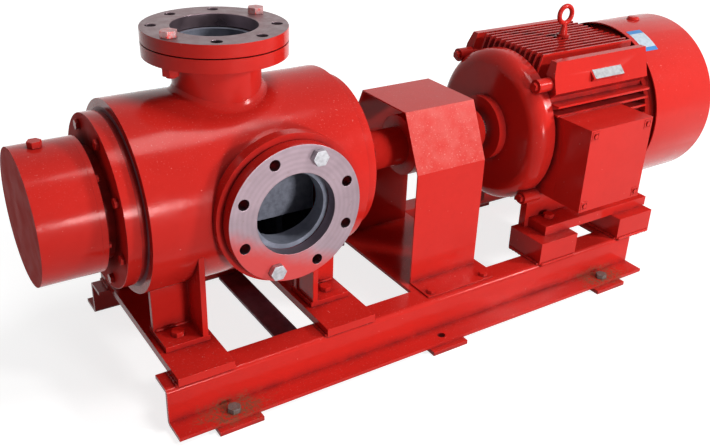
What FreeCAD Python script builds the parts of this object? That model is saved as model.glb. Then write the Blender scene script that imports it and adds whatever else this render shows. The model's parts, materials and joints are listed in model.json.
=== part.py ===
import FreeCAD, Part
import math
import os
import re
import Sketcher

# Twin screw pump set: pump, coupling under a guard, and motor, on one welded base.
# Millimetres. X runs along the shafts from the pump to the motor, the suction flange
# faces -Y, and Z is up. The origin is the middle of the base, under its foot plates.

doc = FreeCAD.newDocument("twin_screw_pump_set")
sheet = doc.addObject("Spreadsheet::Sheet", "sizes")

SIZES = [
    # Base
    ("rail_length", 1260, "length of each bent-plate rail"),
    ("rail_height", 83, "height of a rail over its lower flange"),
    ("rail_wall", 8, "plate thickness of a rail"),
    ("web_half_width", 227, "middle of the base to the outer face of a web"),
    ("top_flange_width", 58, "rail flange that turns inward"),
    ("low_flange_width", 51, "rail flange that turns outward"),
    ("rail_bend", 10, "outer radius of a rail's bends"),
    ("foot_plate_length", 94, "plate under a foundation bolt, along X"),
    ("foot_plate_width", 66, "the same plate, along Y"),
    ("foot_plate_thickness", 10, "the same plate, along Z"),
    ("foundation_pitch", 508, "from one foundation bolt to the next, along X"),
    ("foundation_offset", 29, "foundation bolt out from the web"),
    ("foundation_hole", 9, "radius of a foundation hole"),
    ("bar_width", 58, "flat cross bar, along X"),
    ("bar_thickness", 8, "flat cross bar, along Z"),
    ("left_bar_x", -295, "cross bar under the pump"),
    ("right_bar_x", 590, "cross bar between the flanges under the motor"),
    ("pad_length", 117, "pump pad along X"),
    ("pad_thickness", 18, "pump pad along Z"),
    ("tray_length", 222, "plate between the rails under the guard"),
    ("support_length", 118, "motor support box along X"),
    ("support_width", 110, "motor support box along Y"),
    ("support_height", 57, "motor support box along Z"),
    ("support_wall", 12, "plate thickness of a support box"),
    ("support_offset", -21, "middle of a support box from the motor's foot bolt"),
    # Fasteners: shank radius, width across flats and head height
    ("large_shank", 8, "M16 shank radius"),
    ("large_flats", 24, "M16 width across flats"),
    ("large_head", 10, "M16 head height"),
    ("flange_shank", 10, "M20 shank radius"),
    ("flange_flats", 30, "M20 width across flats"),
    ("flange_head", 12.5, "M20 head height"),
    ("flange_nut", 18, "M20 nut height"),
    ("medium_shank", 6, "M12 shank radius"),
    ("medium_flats", 18, "M12 width across flats"),
    ("medium_head", 8, "M12 head height"),
    ("small_shank", 4, "M8 shank radius"),
    ("small_flats", 13, "M8 width across flats"),
    ("small_head", 5.5, "M8 head height"),
    ("thread_gap", 0.05, "radial gap between a shank and its tapped hole"),
    ("tap_floor", 2, "metal left under a blind tapped hole"),
    ("tap_spare", 2, "tapped hole beyond the end of its bolt"),
    ("bolt_gap", 1, "radial gap between a shank and its clearance hole"),
    ("running_gap", 0.05, "gap of a running fit"),
    ("free_gap", 0.3, "gap between parts that move apart"),
    ("past", 1, "how far a hole is drilled past an open face"),
    # Pump casing
    ("pump_x", -374.5, "middle of the casing"),
    ("casing_length", 465, "full-diameter length of the casing"),
    ("casing_radius", 195, "outside of the casing"),
    ("casing_wall", 17, "wall of the casing"),
    ("spigot_radius", 170, "casing step behind each cover"),
    ("spigot_length", 12, "length of that step"),
    ("end_bore", 140, "opening in each end of the casing"),
    ("end_wall", 30, "thickness of each end of the casing"),
    ("cover_radius", 174, "bolted end cover"),
    ("gear_cover_thickness", 27, "cover at the timing gears"),
    ("drive_cover_thickness", 20, "cover at the coupling"),
    ("cover_tap_depth", 24, "tapped hole of a cover bolt"),
    ("cover_bolt_circle", 152, "radius of the cover bolts"),
    ("seat_gap", 0.2, "radial gap of a cover's spigot in the casing"),
    ("housing_radius", 112, "bearing housing"),
    ("gear_housing_length", 32, "bearing housing behind the timing gears"),
    ("drive_housing_length", 27.5, "bearing housing at the coupling"),
    ("cap_radius", 134, "timing gear cover, outside"),
    ("cap_length", 110, "timing gear cover, length"),
    ("cap_wall", 8, "timing gear cover, wall"),
    ("cap_flange", 11.5, "housing flange that carries the gear cover"),
    ("cap_rim", 20, "thick rim of the gear cover"),
    ("cap_rim_bore", 115, "bore of that rim"),
    ("cap_bolt_circle", 124, "radius of the gear cover bolts"),
    ("plug_offset", 66, "filler plug from the open end of the gear cover"),
    ("plug_flats", 24, "filler plug across flats"),
    ("plug_head", 12, "filler plug head height"),
    ("bearing_cap_radius", 60, "cap over the drive shaft's bearing"),
    ("bearing_cap_seat", 4.5, "boss under the bearing cap"),
    ("bearing_cap_thickness", 10, "bearing cap"),
    ("bearing_cap_circle", 49.5, "radius of the bearing cap bolts"),
    ("bearing_cap_tap", 10, "tapped hole of a bearing cap bolt"),
    # Rotors
    ("centre_distance", 84, "from one rotor shaft to the other"),
    ("screw_radius", 52, "screw over its thread"),
    ("screw_root", 31.5, "screw under its thread"),
    ("screw_pitch", 45, "lead of the thread"),
    ("screw_length", 134, "each of the two screws on a shaft"),
    ("screw_middle", 6, "from the middle of the liner to a screw"),
    ("flank_gap", 0.65, "thread short of half a lead, each side"),
    ("liner_gap", 0.3, "radial gap between a screw and the liner"),
    ("liner_half_length", 150, "half the length of the liner"),
    ("liner_wall", 14, "liner around its bores"),
    ("outlet_half_length", 40, "half the opening on top of the liner"),
    ("liner_rib_x", 105, "from the middle of the liner to a rib under it"),
    ("screw_seat", 23, "shaft under the screws, radius"),
    ("seal_seat", 22, "shaft under the seals, radius"),
    ("bearing_bore", 20, "pump bearing bore, radius"),
    ("bearing_outer", 40, "pump bearing outside, radius"),
    ("bearing_width", 18, "pump bearing width"),
    ("bearing_ring", 7, "ring of a pump bearing, radial height"),
    ("bearing_ball", 6, "groove radius of a pump bearing"),
    ("gear_seat", 17.5, "shaft under the timing gear, radius"),
    ("coupling_seat", 19, "shaft under the coupling, radius"),
    ("gear_tail", 46, "shaft past the gear-end bearing"),
    ("gear_teeth", 28, "teeth of each timing gear"),
    ("gear_width", 30, "face width of a timing gear"),
    ("gear_offset", 12, "timing gear from its bearing"),
    ("gear_backlash", 0.2, "play of the timing gears at the pitch circle"),
    ("chamber_bore", 33, "seal chamber radius"),
    ("chamber_wall", 6, "cover left between a seal chamber and the bearing"),
    ("shaft_hole", 24, "hole that a shaft passes through, radius"),
    ("seal_ring_width", 10, "fixed seal ring"),
    ("seal_head_width", 24, "turning seal ring"),
    ("seal_head_radius", 31, "turning seal ring, outside"),
    # Nozzles, DN 150
    ("suction_x", 40.5, "suction flange from the middle of the casing"),
    ("discharge_x", -8.8, "discharge flange from the middle of the casing"),
    ("suction_reach", 41, "casing to the face of the suction companion flange"),
    ("discharge_reach", 121, "casing to the face of the discharge companion flange"),
    ("nozzle_bore", 75, "passage through a nozzle, radius"),
    ("nozzle_wall", 13, "wall of a nozzle"),
    ("suction_neck", 100, "outside of the suction neck, radius"),
    ("suction_flange", 155, "suction flange of the casing, radius"),
    ("flange_radius", 142.5, "companion flange, radius"),
    ("flange_bore", 84.6, "companion flange bore, radius"),
    ("flange_thickness", 26, "each flange of the discharge, and the companions"),
    ("suction_thickness", 24, "suction flange of the casing"),
    ("suction_hole", 38, "depth of a bolt hole in the suction flange"),
    ("gasket_thickness", 2, "flange gasket"),
    ("gasket_inset", 2, "gasket back from the bore and from the bolt holes"),
    ("bolt_circle", 120, "radius of the flange bolts"),
    ("flange_hole", 11, "flange bolt hole, radius"),
    ("flange_holes", 8, "holes in a flange"),
    ("bolt_tail", 4, "flange bolt beyond its nut"),
    # Pump feet
    ("foot_pitch", 326, "left feet to right feet"),
    ("foot_x", -384.5, "middle of the feet"),
    ("foot_length", 94, "foot plate along X"),
    ("foot_reach", 181, "pump axis to the outer edge of a foot"),
    ("foot_depth", 90, "foot plate along Y"),
    ("foot_thickness", 12, "plates of a foot"),
    ("rib_reach", 116, "pump axis to the outer face of the long rib"),
    ("gusset_inset", 4, "gusset from the inner end of the foot plate"),
    ("foot_bolt_reach", 148, "pump axis to a foot bolt"),
    ("foot_bolt_shift", 8, "foot bolt from the middle of its foot, outward"),
    # Coupling and guard
    ("hub_start", 321.5, "pump half from the middle of the casing"),
    ("flange_half_radius", 70, "flanges of the coupling halves"),
    ("pump_half_length", 135, "pump half of the coupling"),
    ("coupling_gap", 4, "between the coupling halves"),
    ("pin_flange", 44, "flange of each half, along X"),
    ("pump_hub_radius", 44, "hub of the pump half"),
    ("motor_hub_radius", 50, "hub of the motor half"),
    ("hub_play", 3, "motor half from the shoulder of the motor shaft"),
    ("pin_circle", 52, "radius of the coupling pins"),
    ("pin_radius", 6, "coupling pin"),
    ("pin_depth", 34, "pin in the pump half"),
    ("bush_radius", 10, "rubber bush on a pin"),
    ("guard_x", 84.5, "middle of the guard"),
    ("guard_length", 187, "guard along X"),
    ("guard_half_width", 142, "outer face of the guard's walls"),
    ("guard_fold", 271, "height of the walls up to the fold"),
    ("guard_height", 395.5, "height of the guard"),
    ("guard_top_half", 84, "half the flat top"),
    ("guard_sheet", 3, "guard sheet"),
    ("guard_foot_inset", 15, "edge of the guard's foot in from the web"),
    ("guard_bolt_inset", 30, "guard bolt in from the web"),
    ("guard_bolt_pitch", 152, "guard bolts along X"),
    # Motor
    ("motor_shaft_height", 225, "motor shaft over the support boxes"),
    ("motor_foot_x", 525, "middle of the motor's foot bolts"),
    ("foot_bolt_length", 267, "foot bolts along X"),
    ("foot_bolt_half", 159, "middle of the base to a foot bolt"),
    ("foot_bar_length", 354, "motor foot along X"),
    ("foot_bar_edge", 197, "middle of the base to the edge of a motor foot"),
    ("foot_bar_width", 80, "motor foot along Y"),
    ("foot_bar_thickness", 24, "motor foot along Z"),
    ("leg_thickness", 20, "web between a foot and the frame"),
    ("frame_start", 335, "drive end of the frame"),
    ("frame_length", 332, "frame along X"),
    ("frame_radius", 163, "frame under its fins"),
    ("frame_bore", 150, "bore of the frame"),
    ("frame_ring", 14, "thick ring at each end of the frame, along X"),
    ("frame_ring_radius", 184, "the same ring, outside"),
    ("fin_thickness", 5, "fin"),
    ("fin_reach", 195, "motor axis to the tips of the top fins"),
    ("fin_pitch", 17.8, "from one top fin to the next"),
    ("fin_rake", 18, "lean of the top fins' drive ends, in degrees"),
    ("fin_root", 160, "motor axis to the foot of that lean"),
    ("side_fin_reach", 180, "motor axis to the tips of the side fins"),
    ("side_fin_pitch", 21, "from one side fin to the next"),
    ("low_fin_reach", 178, "motor axis to the tips of the fins below"),
    ("panel_inner", 128, "inner face of the panel beside the top fins"),
    ("panel_top", 190, "motor axis to the top of the panel"),
    ("panel_edge", 146, "outer edge of the panel's top"),
    ("panel_crease", 158, "crease of the panel, from the middle"),
    ("panel_crease_rise", 149, "the same crease over the motor axis"),
    ("panel_foot", 166, "lower edge of the panel, from the middle"),
    ("panel_foot_rise", 122, "the same edge over the motor axis"),
    ("panel_under", 108, "where the panel's underside meets the barrel"),
    ("shaft_shoulder", 259, "shoulder of the motor shaft"),
    ("extension_length", 110, "motor shaft extension"),
    ("extension_radius", 27.5, "motor shaft extension, radius"),
    ("motor_journal", 30, "motor bearing bore, radius"),
    ("motor_bearing_outer", 65, "motor bearing outside, radius"),
    ("motor_bearing_width", 31, "motor bearing width"),
    ("motor_bearing_ring", 11, "ring of a motor bearing, radial height"),
    ("motor_ball", 10.5, "groove radius of a motor bearing"),
    ("shield_boss", 78, "raised ring on the drive-end shield"),
    ("shield_boss_start", 275, "face of that ring"),
    ("shield_lip", 3, "metal in front of the drive-end bearing"),
    ("rear_bearing_gap", 1, "frame to the bearing behind the rotor"),
    ("shield_face", 295, "face of the drive-end shield"),
    ("shield_rim", 184, "drive-end shield, outside"),
    ("shield_round", 35, "rounding of that rim"),
    ("shield_wall", 12, "wall of a shield"),
    ("ear_reach", 196, "motor axis to a shield bolt"),
    ("ear_radius", 16, "ear around a shield bolt"),
    ("ear_length", 26, "ear along X"),
    ("core_length", 190, "stator and rotor cores"),
    ("core_start", 405, "drive end of the cores"),
    ("core_bore", 95, "bore of the stator"),
    ("air_gap", 0.7, "between rotor and stator"),
    ("winding_inner", 104, "winding heads, inside"),
    ("winding_outer", 140, "winding heads, outside"),
    ("winding_length", 38, "winding head beyond the core"),
    ("core_seat", 35, "motor shaft in its core, radius"),
    ("fan_shield_length", 34, "fan-end shield along X"),
    ("fan_shield_radius", 184, "fan-end shield, outside"),
    ("fan_shield_step", 163, "fan-end shield inside its bolts"),
    ("fan_shield_spigot", 20, "fan-end shield inside the bore, radial"),
    ("fan_shield_wall", 4, "fan-end shield behind that step"),
    ("fan_seat", 25, "motor shaft under the fan, radius"),
    ("fan_start", 735, "fan hub, drive side"),
    ("fan_width", 50, "fan along X"),
    ("fan_radius", 150, "fan over its blades"),
    ("fan_plate", 5, "fan plate and blades"),
    ("fan_hub", 45, "fan hub, radius"),
    ("hood_radius", 208, "fan cover, outside"),
    ("hood_length", 204, "straight part of the fan cover"),
    ("hood_dome", 10, "rounding at the end of the fan cover"),
    ("hood_sheet", 3, "fan cover sheet"),
    ("hood_slot", 5, "half width of the fan cover's air slots"),
    ("hood_slot_pitch", 24, "from one air slot to the next"),
    ("hood_grille", 160, "radius of the slotted area"),
    ("hood_ear_reach", 176, "motor axis to a fan-end shield bolt"),
    ("plate_x", 515, "middle of the nameplate pad"),
    ("plate_length", 105, "nameplate pad along X"),
    ("plate_half", 20, "half the width of the nameplate pad"),
    ("plate_reach", 222, "motor axis to the nameplate pad"),
    ("eyebolt_x", 520, "eyebolt"),
    ("eyebolt_rise", 53, "fin tips to the middle of the ring"),
    ("eyebolt_ring", 20.5, "middle radius of the ring"),
    ("eyebolt_wire", 5.8, "wire radius of the ring"),
    ("eyebolt_collar", 15, "collar under the ring, radius"),
    ("eyebolt_seat", 6, "collar under the ring, height"),
    ("eyebolt_neck", 10.5, "foot of the neck, radius"),
    ("eyebolt_post", 19, "boss between the fins under the eyebolt"),
    ("eyebolt_tap", 24, "tapped hole of the eyebolt"),
    # Terminal box
    ("box_x", 455.5, "middle of the terminal box"),
    ("box_width", 199, "terminal box along X"),
    ("box_height", 201, "terminal box along Z"),
    ("box_drop", 28.5, "middle of the terminal box under the motor axis"),
    ("box_front", 280, "middle of the base to the lid's face"),
    ("box_back", 198, "middle of the base to the back of the box"),
    ("box_wall", 5, "wall of the terminal box"),
    ("lid_thickness", 6, "lid of the terminal box"),
    ("lid_screw_inset", 15, "lid screw from the edges of the lid"),
    ("lid_screw", 3, "lid screw radius"),
    ("lid_screw_flats", 10, "lid screw across flats"),
    ("lid_screw_head", 3, "lid screw head height"),
    ("lid_post", 9, "post around a lid screw, radius"),
    ("lid_tap", 20, "tapped hole of a lid screw"),
    ("gland_radius", 20, "cable gland"),
    ("gland_nut", 16, "nut of the gland, along X"),
    ("gland_cap", 16, "cap of the gland, radius"),
    ("gland_stem", 12, "stem of the gland in the box wall, radius"),
    ("gland_length", 26, "cable gland outside the box"),
    ("gland_hole", 9, "cable way through the gland, radius"),
]
for row, (alias, number, note) in enumerate(SIZES, start=1):
    sheet.set("A%d" % row, alias)
    sheet.set("B%d" % row, str(number))
    sheet.set("C%d" % row, note)
    sheet.setAlias("B%d" % row, alias)
doc.recompute()

ALIAS = re.compile(r"\b(" + "|".join(sorted((r[0] for r in SIZES), key=len, reverse=True)) + r")\b")


def bound(text):
    """Write an expression of plain size names as one on the sheet's cells."""
    return ALIAS.sub(r"sizes.\1", text)


def value(text):
    """Number that an expression of size names stands for."""
    return float(sheet.evalExpression(bound(text)))


def set_sizes(item, **sizes):
    for name, text in sizes.items():
        item.setExpression(name, bound(text))


def place(item, at, turn=None):
    """Put an object at three expressions, with an optional rotation."""
    item.Placement = FreeCAD.Placement(FreeCAD.Vector(), turn or FreeCAD.Rotation())
    for axis, text in zip("xyz", at):
        item.setExpression("Placement.Base." + axis, bound(text))


TURNS = {
    "x": FreeCAD.Rotation(FreeCAD.Vector(0, 1, 0), 90),
    "y": FreeCAD.Rotation(FreeCAD.Vector(1, 0, 0), -90),
    "z": FreeCAD.Rotation(),
}


def point(along, start, across):
    """Three expressions for a place on a line along X, Y or Z."""
    first, second = across
    return {"x": (start, first, second), "y": (first, start, second), "z": (first, second, start)}[along]


def rod(radius, start, end, across, along="x"):
    item = doc.addObject("Part::Cylinder", "rod")
    set_sizes(item, Radius=radius, Height="(%s) - (%s)" % (end, start))
    place(item, point(along, start, across), TURNS[along])
    return item


def cone(first, last, start, end, across, along="x"):
    item = doc.addObject("Part::Cone", "cone")
    set_sizes(item, Radius1=first, Radius2=last, Height="(%s) - (%s)" % (end, start))
    place(item, point(along, start, across), TURNS[along])
    return item


def hexagon(flats, start, end, across, along="x"):
    item = doc.addObject("Part::Prism", "hexagon")
    item.Polygon = 6
    set_sizes(item, Circumradius="(%s) / sqrt(3)" % flats, Height="(%s) - (%s)" % (end, start))
    place(item, point(along, start, across), TURNS[along])
    return item


def block(xs, ys, zs):
    item = doc.addObject("Part::Box", "block")
    spans = ["(%s) - (%s)" % (high, low) for low, high in (xs, ys, zs)]
    set_sizes(item, Length=spans[0], Width=spans[1], Height=spans[2])
    place(item, (xs[0], ys[0], zs[0]))
    return item


def sphere(radius, at):
    item = doc.addObject("Part::Sphere", "sphere")
    set_sizes(item, Radius=radius)
    place(item, at)
    return item


def torus(ring, wire, at, turn):
    item = doc.addObject("Part::Torus", "torus")
    set_sizes(item, Radius1=ring, Radius2=wire)
    place(item, at, turn)
    return item


def join(items):
    item = doc.addObject("Part::MultiFuse", "join")
    item.Shapes = items
    return item


def group(items):
    item = doc.addObject("Part::Compound", "group")
    item.Links = items
    return item


def cut(base, tools):
    item = doc.addObject("Part::Cut", "cut")
    item.Base = base
    item.Tool = tools[0] if len(tools) == 1 else group(tools)
    return item


def common(first, second):
    item = doc.addObject("Part::Common", "common")
    item.Base = first
    item.Tool = second
    return item


def plane_of(body, role):
    return [item for item in body.Origin.OriginFeatures if item.Role == role][0]


def outline(body, role, points):
    """Closed sketch whose corners are held by expressions."""
    sketch = body.newObject("Sketcher::SketchObject", "outline")
    sketch.AttachmentSupport = [(plane_of(body, role), "")]
    sketch.MapMode = "FlatFace"
    corners = [FreeCAD.Vector(value(u), value(v), 0) for u, v in points]
    count = len(corners)
    for index in range(count):
        sketch.addGeometry(Part.LineSegment(corners[index], corners[(index + 1) % count]), False)
    for index in range(count):
        sketch.addConstraint(Sketcher.Constraint("Coincident", index, 2, (index + 1) % count, 1))
    for index, (u, v) in enumerate(points):
        for kind, text in (("DistanceX", u), ("DistanceY", v)):
            number = sketch.addConstraint(Sketcher.Constraint(kind, -1, 1, index, 1, value(text)))
            sketch.setExpression("Constraints[%d]" % number, bound(text))
    return sketch


def circles(body, role, radii, centre=("0", "0")):
    """Sketch of concentric circles held by expressions."""
    sketch = body.newObject("Sketcher::SketchObject", "circles")
    sketch.AttachmentSupport = [(plane_of(body, role), "")]
    sketch.MapMode = "FlatFace"
    middle = FreeCAD.Vector(value(centre[0]), value(centre[1]), 0)
    for index, text in enumerate(radii):
        sketch.addGeometry(Part.Circle(middle, FreeCAD.Vector(0, 0, 1), value(text)), False)
        number = sketch.addConstraint(Sketcher.Constraint("Radius", index, value(text)))
        sketch.setExpression("Constraints[%d]" % number, bound(text))
        for kind, place_text in (("DistanceX", centre[0]), ("DistanceY", centre[1])):
            number = sketch.addConstraint(Sketcher.Constraint(kind, -1, 1, index, 3, value(place_text)))
            sketch.setExpression("Constraints[%d]" % number, bound(place_text))
    return sketch


def lathe(points, at):
    """Body turned about X from an outline of (x, radius) corners."""
    body = doc.addObject("PartDesign::Body", "turned")
    profile = outline(body, "XZ_Plane", points)
    turned = body.newObject("PartDesign::Revolution", "revolution")
    turned.Profile = profile
    turned.ReferenceAxis = (profile, ["H_Axis"])
    turned.Angle = 360
    place(body, at)
    return body


def extrusion(role, points, length, at):
    """Body padded from an outline on one of the origin planes."""
    body = doc.addObject("PartDesign::Body", "padded")
    pad = body.newObject("PartDesign::Pad", "pad")
    pad.Profile = outline(body, role, points)
    set_sizes(pad, Length=length)
    place(body, at)
    return body


def flange_body(radius, bore, thickness, at, turn):
    """Flat flange with a bore and a ring of bolt holes, drawn on XY."""
    body = doc.addObject("PartDesign::Body", "flange")
    pad = body.newObject("PartDesign::Pad", "pad")
    pad.Profile = circles(body, "XY_Plane", [radius, bore])
    set_sizes(pad, Length=thickness)
    first = around(1, "bolt_circle", ("0", "0"), HOLE_SHIFT)[0]
    pocket = body.newObject("PartDesign::Pocket", "hole")
    pocket.Profile = circles(body, "XY_Plane", ["flange_hole"], first)
    pocket.Type = "ThroughAll"
    pocket.Reversed = True
    pattern = body.newObject("PartDesign::PolarPattern", "holes")
    pattern.Originals = [pocket]
    pattern.Axis = (plane_of(body, "Z_Axis"), [""])
    pattern.Angle = 360
    pattern.Occurrences = FLANGE_HOLES
    body.Tip = pattern
    place(body, at, turn)
    return body


def around(count, radius, centre, shift="0"):
    """Places on a circle: pairs of expressions for the two directions across its axis."""
    angles = ["(%s + %s)" % (shift, 360.0 * index / count) for index in range(count)]
    first, second = centre
    return [("%s + (%s) * cos(%s)" % (first, radius, angle),
             "%s + (%s) * sin(%s)" % (second, radius, angle)) for angle in angles]


NODES = []


def node(label, item):
    item.Label = label
    NODES.append(item)
    return item


def bolt(shank, flats, head, seat, reach, across, along="x"):
    """Hex bolt with its head on the far side of the seat from its shank."""
    outward = "(%s) - (%s)" % (seat, head) if value(reach) > value(seat) else "(%s) + (%s)" % (seat, head)
    if value(reach) > value(seat):
        return join([hexagon(flats, outward, seat, across, along), rod(shank, seat, reach, across, along)])
    return join([hexagon(flats, seat, outward, across, along), rod(shank, reach, seat, across, along)])


def large_bolt(seat, reach, across):
    """Upright M16 bolt."""
    return bolt("large_shank", "large_flats", "large_head", seat, reach, across, "z")


def medium_bolt(seat, reach, across, along="x"):
    return bolt("medium_shank", "medium_flats", "medium_head", seat, reach, across, along)


def small_bolt(seat, reach, across):
    return bolt("small_shank", "small_flats", "small_head", seat, reach, across)


# Places that many pieces share

RAIL_BOTTOM = "foot_plate_thickness"
RAIL_TOP = "foot_plate_thickness + rail_height"
PAD_TOP = RAIL_TOP + " + pad_thickness"
SUPPORT_TOP = RAIL_TOP + " + support_height"
AXIS_Z = "(" + SUPPORT_TOP + " + motor_shaft_height)"
PUMP_Y = "centre_distance / 2"
PUMP_AXIS = (PUMP_Y, AXIS_Z)
DRIVE_AXIS = ("0", AXIS_Z)
DRIVEN_AXIS = ("centre_distance", AXIS_Z)
PUMP_X = "pump_x"
AT_PUMP = (PUMP_X, PUMP_Y, AXIS_Z)
SHAFTS = (DRIVE_AXIS, DRIVEN_AXIS)

HALF = "casing_length / 2"
CASING_END = "(" + HALF + " + spigot_length)"
GEAR_COVER_FACE = "(" + CASING_END + " + gear_cover_thickness)"
DRIVE_COVER_FACE = "(" + CASING_END + " + drive_cover_thickness)"
GEAR_HOUSING_FACE = "(" + GEAR_COVER_FACE + " + gear_housing_length)"
DRIVE_HOUSING_FACE = "(" + DRIVE_COVER_FACE + " + drive_housing_length)"
COVER_BOLTS = 8
CAP_BOLTS = 6


def left(text):
    """Place on the gear side, as a distance from the middle of the casing."""
    return "pump_x - (%s)" % text


def right(text):
    """Place on the coupling side, as a distance from the middle of the casing."""
    return "pump_x + (%s)" % text


SEAL_SIDES = ((GEAR_COVER_FACE, left), (DRIVE_COVER_FACE, right))


# Base

FOUNDATION_X = ["-foundation_pitch", "0", "foundation_pitch"]
FOUNDATION_Y = "(web_half_width + foundation_offset)"
GUARD_BOLT_Y = "(web_half_width - guard_bolt_inset)"
GUARD_BOLTS = [("guard_x %s guard_bolt_pitch / 2" % mark, y)
               for mark in "-+" for y in ("-" + GUARD_BOLT_Y, GUARD_BOLT_Y)]
MOTOR_BOLT_X = ["motor_foot_x - foot_bolt_length / 2", "motor_foot_x + foot_bolt_length / 2"]
MOTOR_BOLT_Y = ["-foot_bolt_half", "foot_bolt_half"]


def rail(side):
    """Bent plate with its top flange inward and its lower flange outward."""
    outer, wall = "web_half_width", "rail_wall"
    height, bend = "rail_height", "rail_bend"
    points = [
        (outer, height), (outer, wall),
        ("%s + low_flange_width" % outer, wall), ("%s + low_flange_width" % outer, "0"),
        ("%s - %s" % (outer, wall), "0"), ("%s - %s" % (outer, wall), "%s - %s" % (height, wall)),
        ("%s - top_flange_width" % outer, "%s - %s" % (height, wall)),
        ("%s - top_flange_width" % outer, height),
    ]
    if side < 0:
        points = [("-(%s)" % u, v) for u, v in points]
    plate = extrusion("YZ_Plane", points, "rail_length", ("-rail_length / 2", "0", RAIL_BOTTOM))
    sign = "-" if side < 0 else ""
    edge = sign + "(web_half_width"
    corner_y = [edge + " - rail_bend)", edge + ")"]
    if side < 0:
        corner_y.reverse()
    ends = ("-rail_length / 2", "rail_length / 2")
    square = block(ends, corner_y, (RAIL_TOP + " - rail_bend", RAIL_TOP))
    round_edge = rod("rail_bend", ends[0], ends[1], (edge + " - rail_bend)", RAIL_TOP + " - rail_bend"))
    inner_y = [edge + " - rail_wall)", edge + " - rail_wall + rail_bend)"]
    if side < 0:
        inner_y.reverse()
    low_square = block(ends, inner_y, (RAIL_BOTTOM, RAIL_BOTTOM + " + rail_bend"))
    low_centre = (edge + " - rail_wall + rail_bend)", RAIL_BOTTOM + " + rail_bend")
    low_round = rod("rail_bend", ends[0], ends[1], low_centre)
    holes = [rod("foundation_hole", "0", RAIL_TOP, (x, sign + FOUNDATION_Y), "z")
             for x in FOUNDATION_X]
    tap_foot = RAIL_BOTTOM + " + rail_height / 2"
    taps = [rod("medium_shank + thread_gap", tap_foot, RAIL_TOP + " + past", (x, y), "z")
            for x, y in GUARD_BOLTS if y.startswith("-") == (side < 0)]
    return cut(plate, [cut(square, [round_edge]), cut(low_square, [low_round])] + holes + taps)


def base_frame():
    node("front_rail", rail(-1))
    node("rear_rail", rail(1))
    inner = "(web_half_width - rail_wall)"
    low_bar = block(("left_bar_x - bar_width / 2", "left_bar_x + bar_width / 2"), ("-" + inner, inner),
                    (RAIL_BOTTOM, RAIL_BOTTOM + " + bar_thickness"))
    flange_edge = "(web_half_width - top_flange_width)"
    high = [block(xs, ("-" + flange_edge, flange_edge), (RAIL_TOP + " - rail_wall", RAIL_TOP)) for xs in (
        ("guard_x - tray_length / 2", "guard_x + tray_length / 2"),
        ("right_bar_x - bar_width / 2", "right_bar_x + bar_width / 2"))]
    node("cross_plates", group([low_bar] + high))
    plates = []
    outer = "(web_half_width + foot_plate_width)"
    for x in FOUNDATION_X:
        for ys in (("-" + outer, "-web_half_width"), ("web_half_width", outer)):
            plate = block((x + " - foot_plate_length / 2", x + " + foot_plate_length / 2"), ys,
                          ("0", "foot_plate_thickness"))
            hole_y = "-" + FOUNDATION_Y if ys[0].startswith("-(") else FOUNDATION_Y
            plates.append(cut(plate, [rod("foundation_hole", "0", RAIL_TOP, (x, hole_y), "z")]))
    node("foundation_plates", group(plates))
    node("pump_pads", group([pump_pad(mark) for mark in "-+"]))
    node("motor_supports", group([support_box(x, y) for x in MOTOR_BOLT_X for y in MOTOR_BOLT_Y]))
    seat = RAIL_BOTTOM + " + rail_wall"
    bolts = [large_bolt(seat, "0", (x, y))
             for x in (FOUNDATION_X[0], FOUNDATION_X[2]) for y in ("-" + FOUNDATION_Y, FOUNDATION_Y)]
    node("foundation_bolts", group(bolts))


def pump_bolts(mark):
    """Places of the two foot bolts at one end of the pump."""
    x = "foot_x %s (foot_pitch / 2 + foot_bolt_shift)" % mark
    return [(x, PUMP_Y + " %s foot_bolt_reach" % side) for side in "-+"]


def pump_pad(mark):
    middle = "foot_x %s foot_pitch / 2" % mark
    pad = block((middle + " - pad_length / 2", middle + " + pad_length / 2"),
                ("-web_half_width", "web_half_width"), (RAIL_TOP, PAD_TOP))
    taps = [rod("large_shank + thread_gap", RAIL_TOP + " + tap_floor", PAD_TOP + " + past", place_xy, "z")
            for place_xy in pump_bolts(mark)]
    return cut(pad, taps)


def support_box(x, y):
    """Plate box, open below, on the top flange of a rail."""
    middle = x + " + support_offset"
    ends = (middle + " - support_length / 2", middle + " + support_length / 2")
    inner = "(web_half_width - support_width)"
    ys = ("-web_half_width", "-" + inner) if y.startswith("-") else (inner, "web_half_width")
    box = block(ends, ys, (RAIL_TOP, SUPPORT_TOP))
    hollow = block((ends[0] + " + support_wall", ends[1] + " - support_wall"),
                   (ys[0] + " + support_wall", ys[1] + " - support_wall"),
                   (RAIL_TOP, SUPPORT_TOP + " - support_wall"))
    tap_foot = RAIL_TOP + " + support_height / 2"
    tap = rod("large_shank + thread_gap", tap_foot, SUPPORT_TOP + " + past", (x, y), "z")
    return cut(cut(box, [hollow]), [tap])


# Pump casing and its nozzles

SUCTION = ("pump_x + suction_x", AXIS_Z)
DISCHARGE = ("pump_x + discharge_x", PUMP_Y)
SUCTION_FACE = "(" + PUMP_Y + " - casing_radius - suction_reach)"
DISCHARGE_FACE = "(" + AXIS_Z + " + casing_radius + discharge_reach)"
SUCTION_SEAT = "(" + SUCTION_FACE + " + flange_thickness + gasket_thickness)"
DISCHARGE_SEAT = "(" + DISCHARGE_FACE + " - flange_thickness - gasket_thickness)"
LINER_TOP = "(" + AXIS_Z + " + screw_radius + liner_gap + liner_wall)"
LINER_BOTTOM = "(" + AXIS_Z + " - screw_radius - liner_gap - liner_wall)"
HOLE_SHIFT = "180 / flange_holes"
FLANGE_HOLES = int(value("flange_holes"))
SUCTION_BOLTS = (1, 5)
DISCHARGE_BOLTS = (0, 4)


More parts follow.
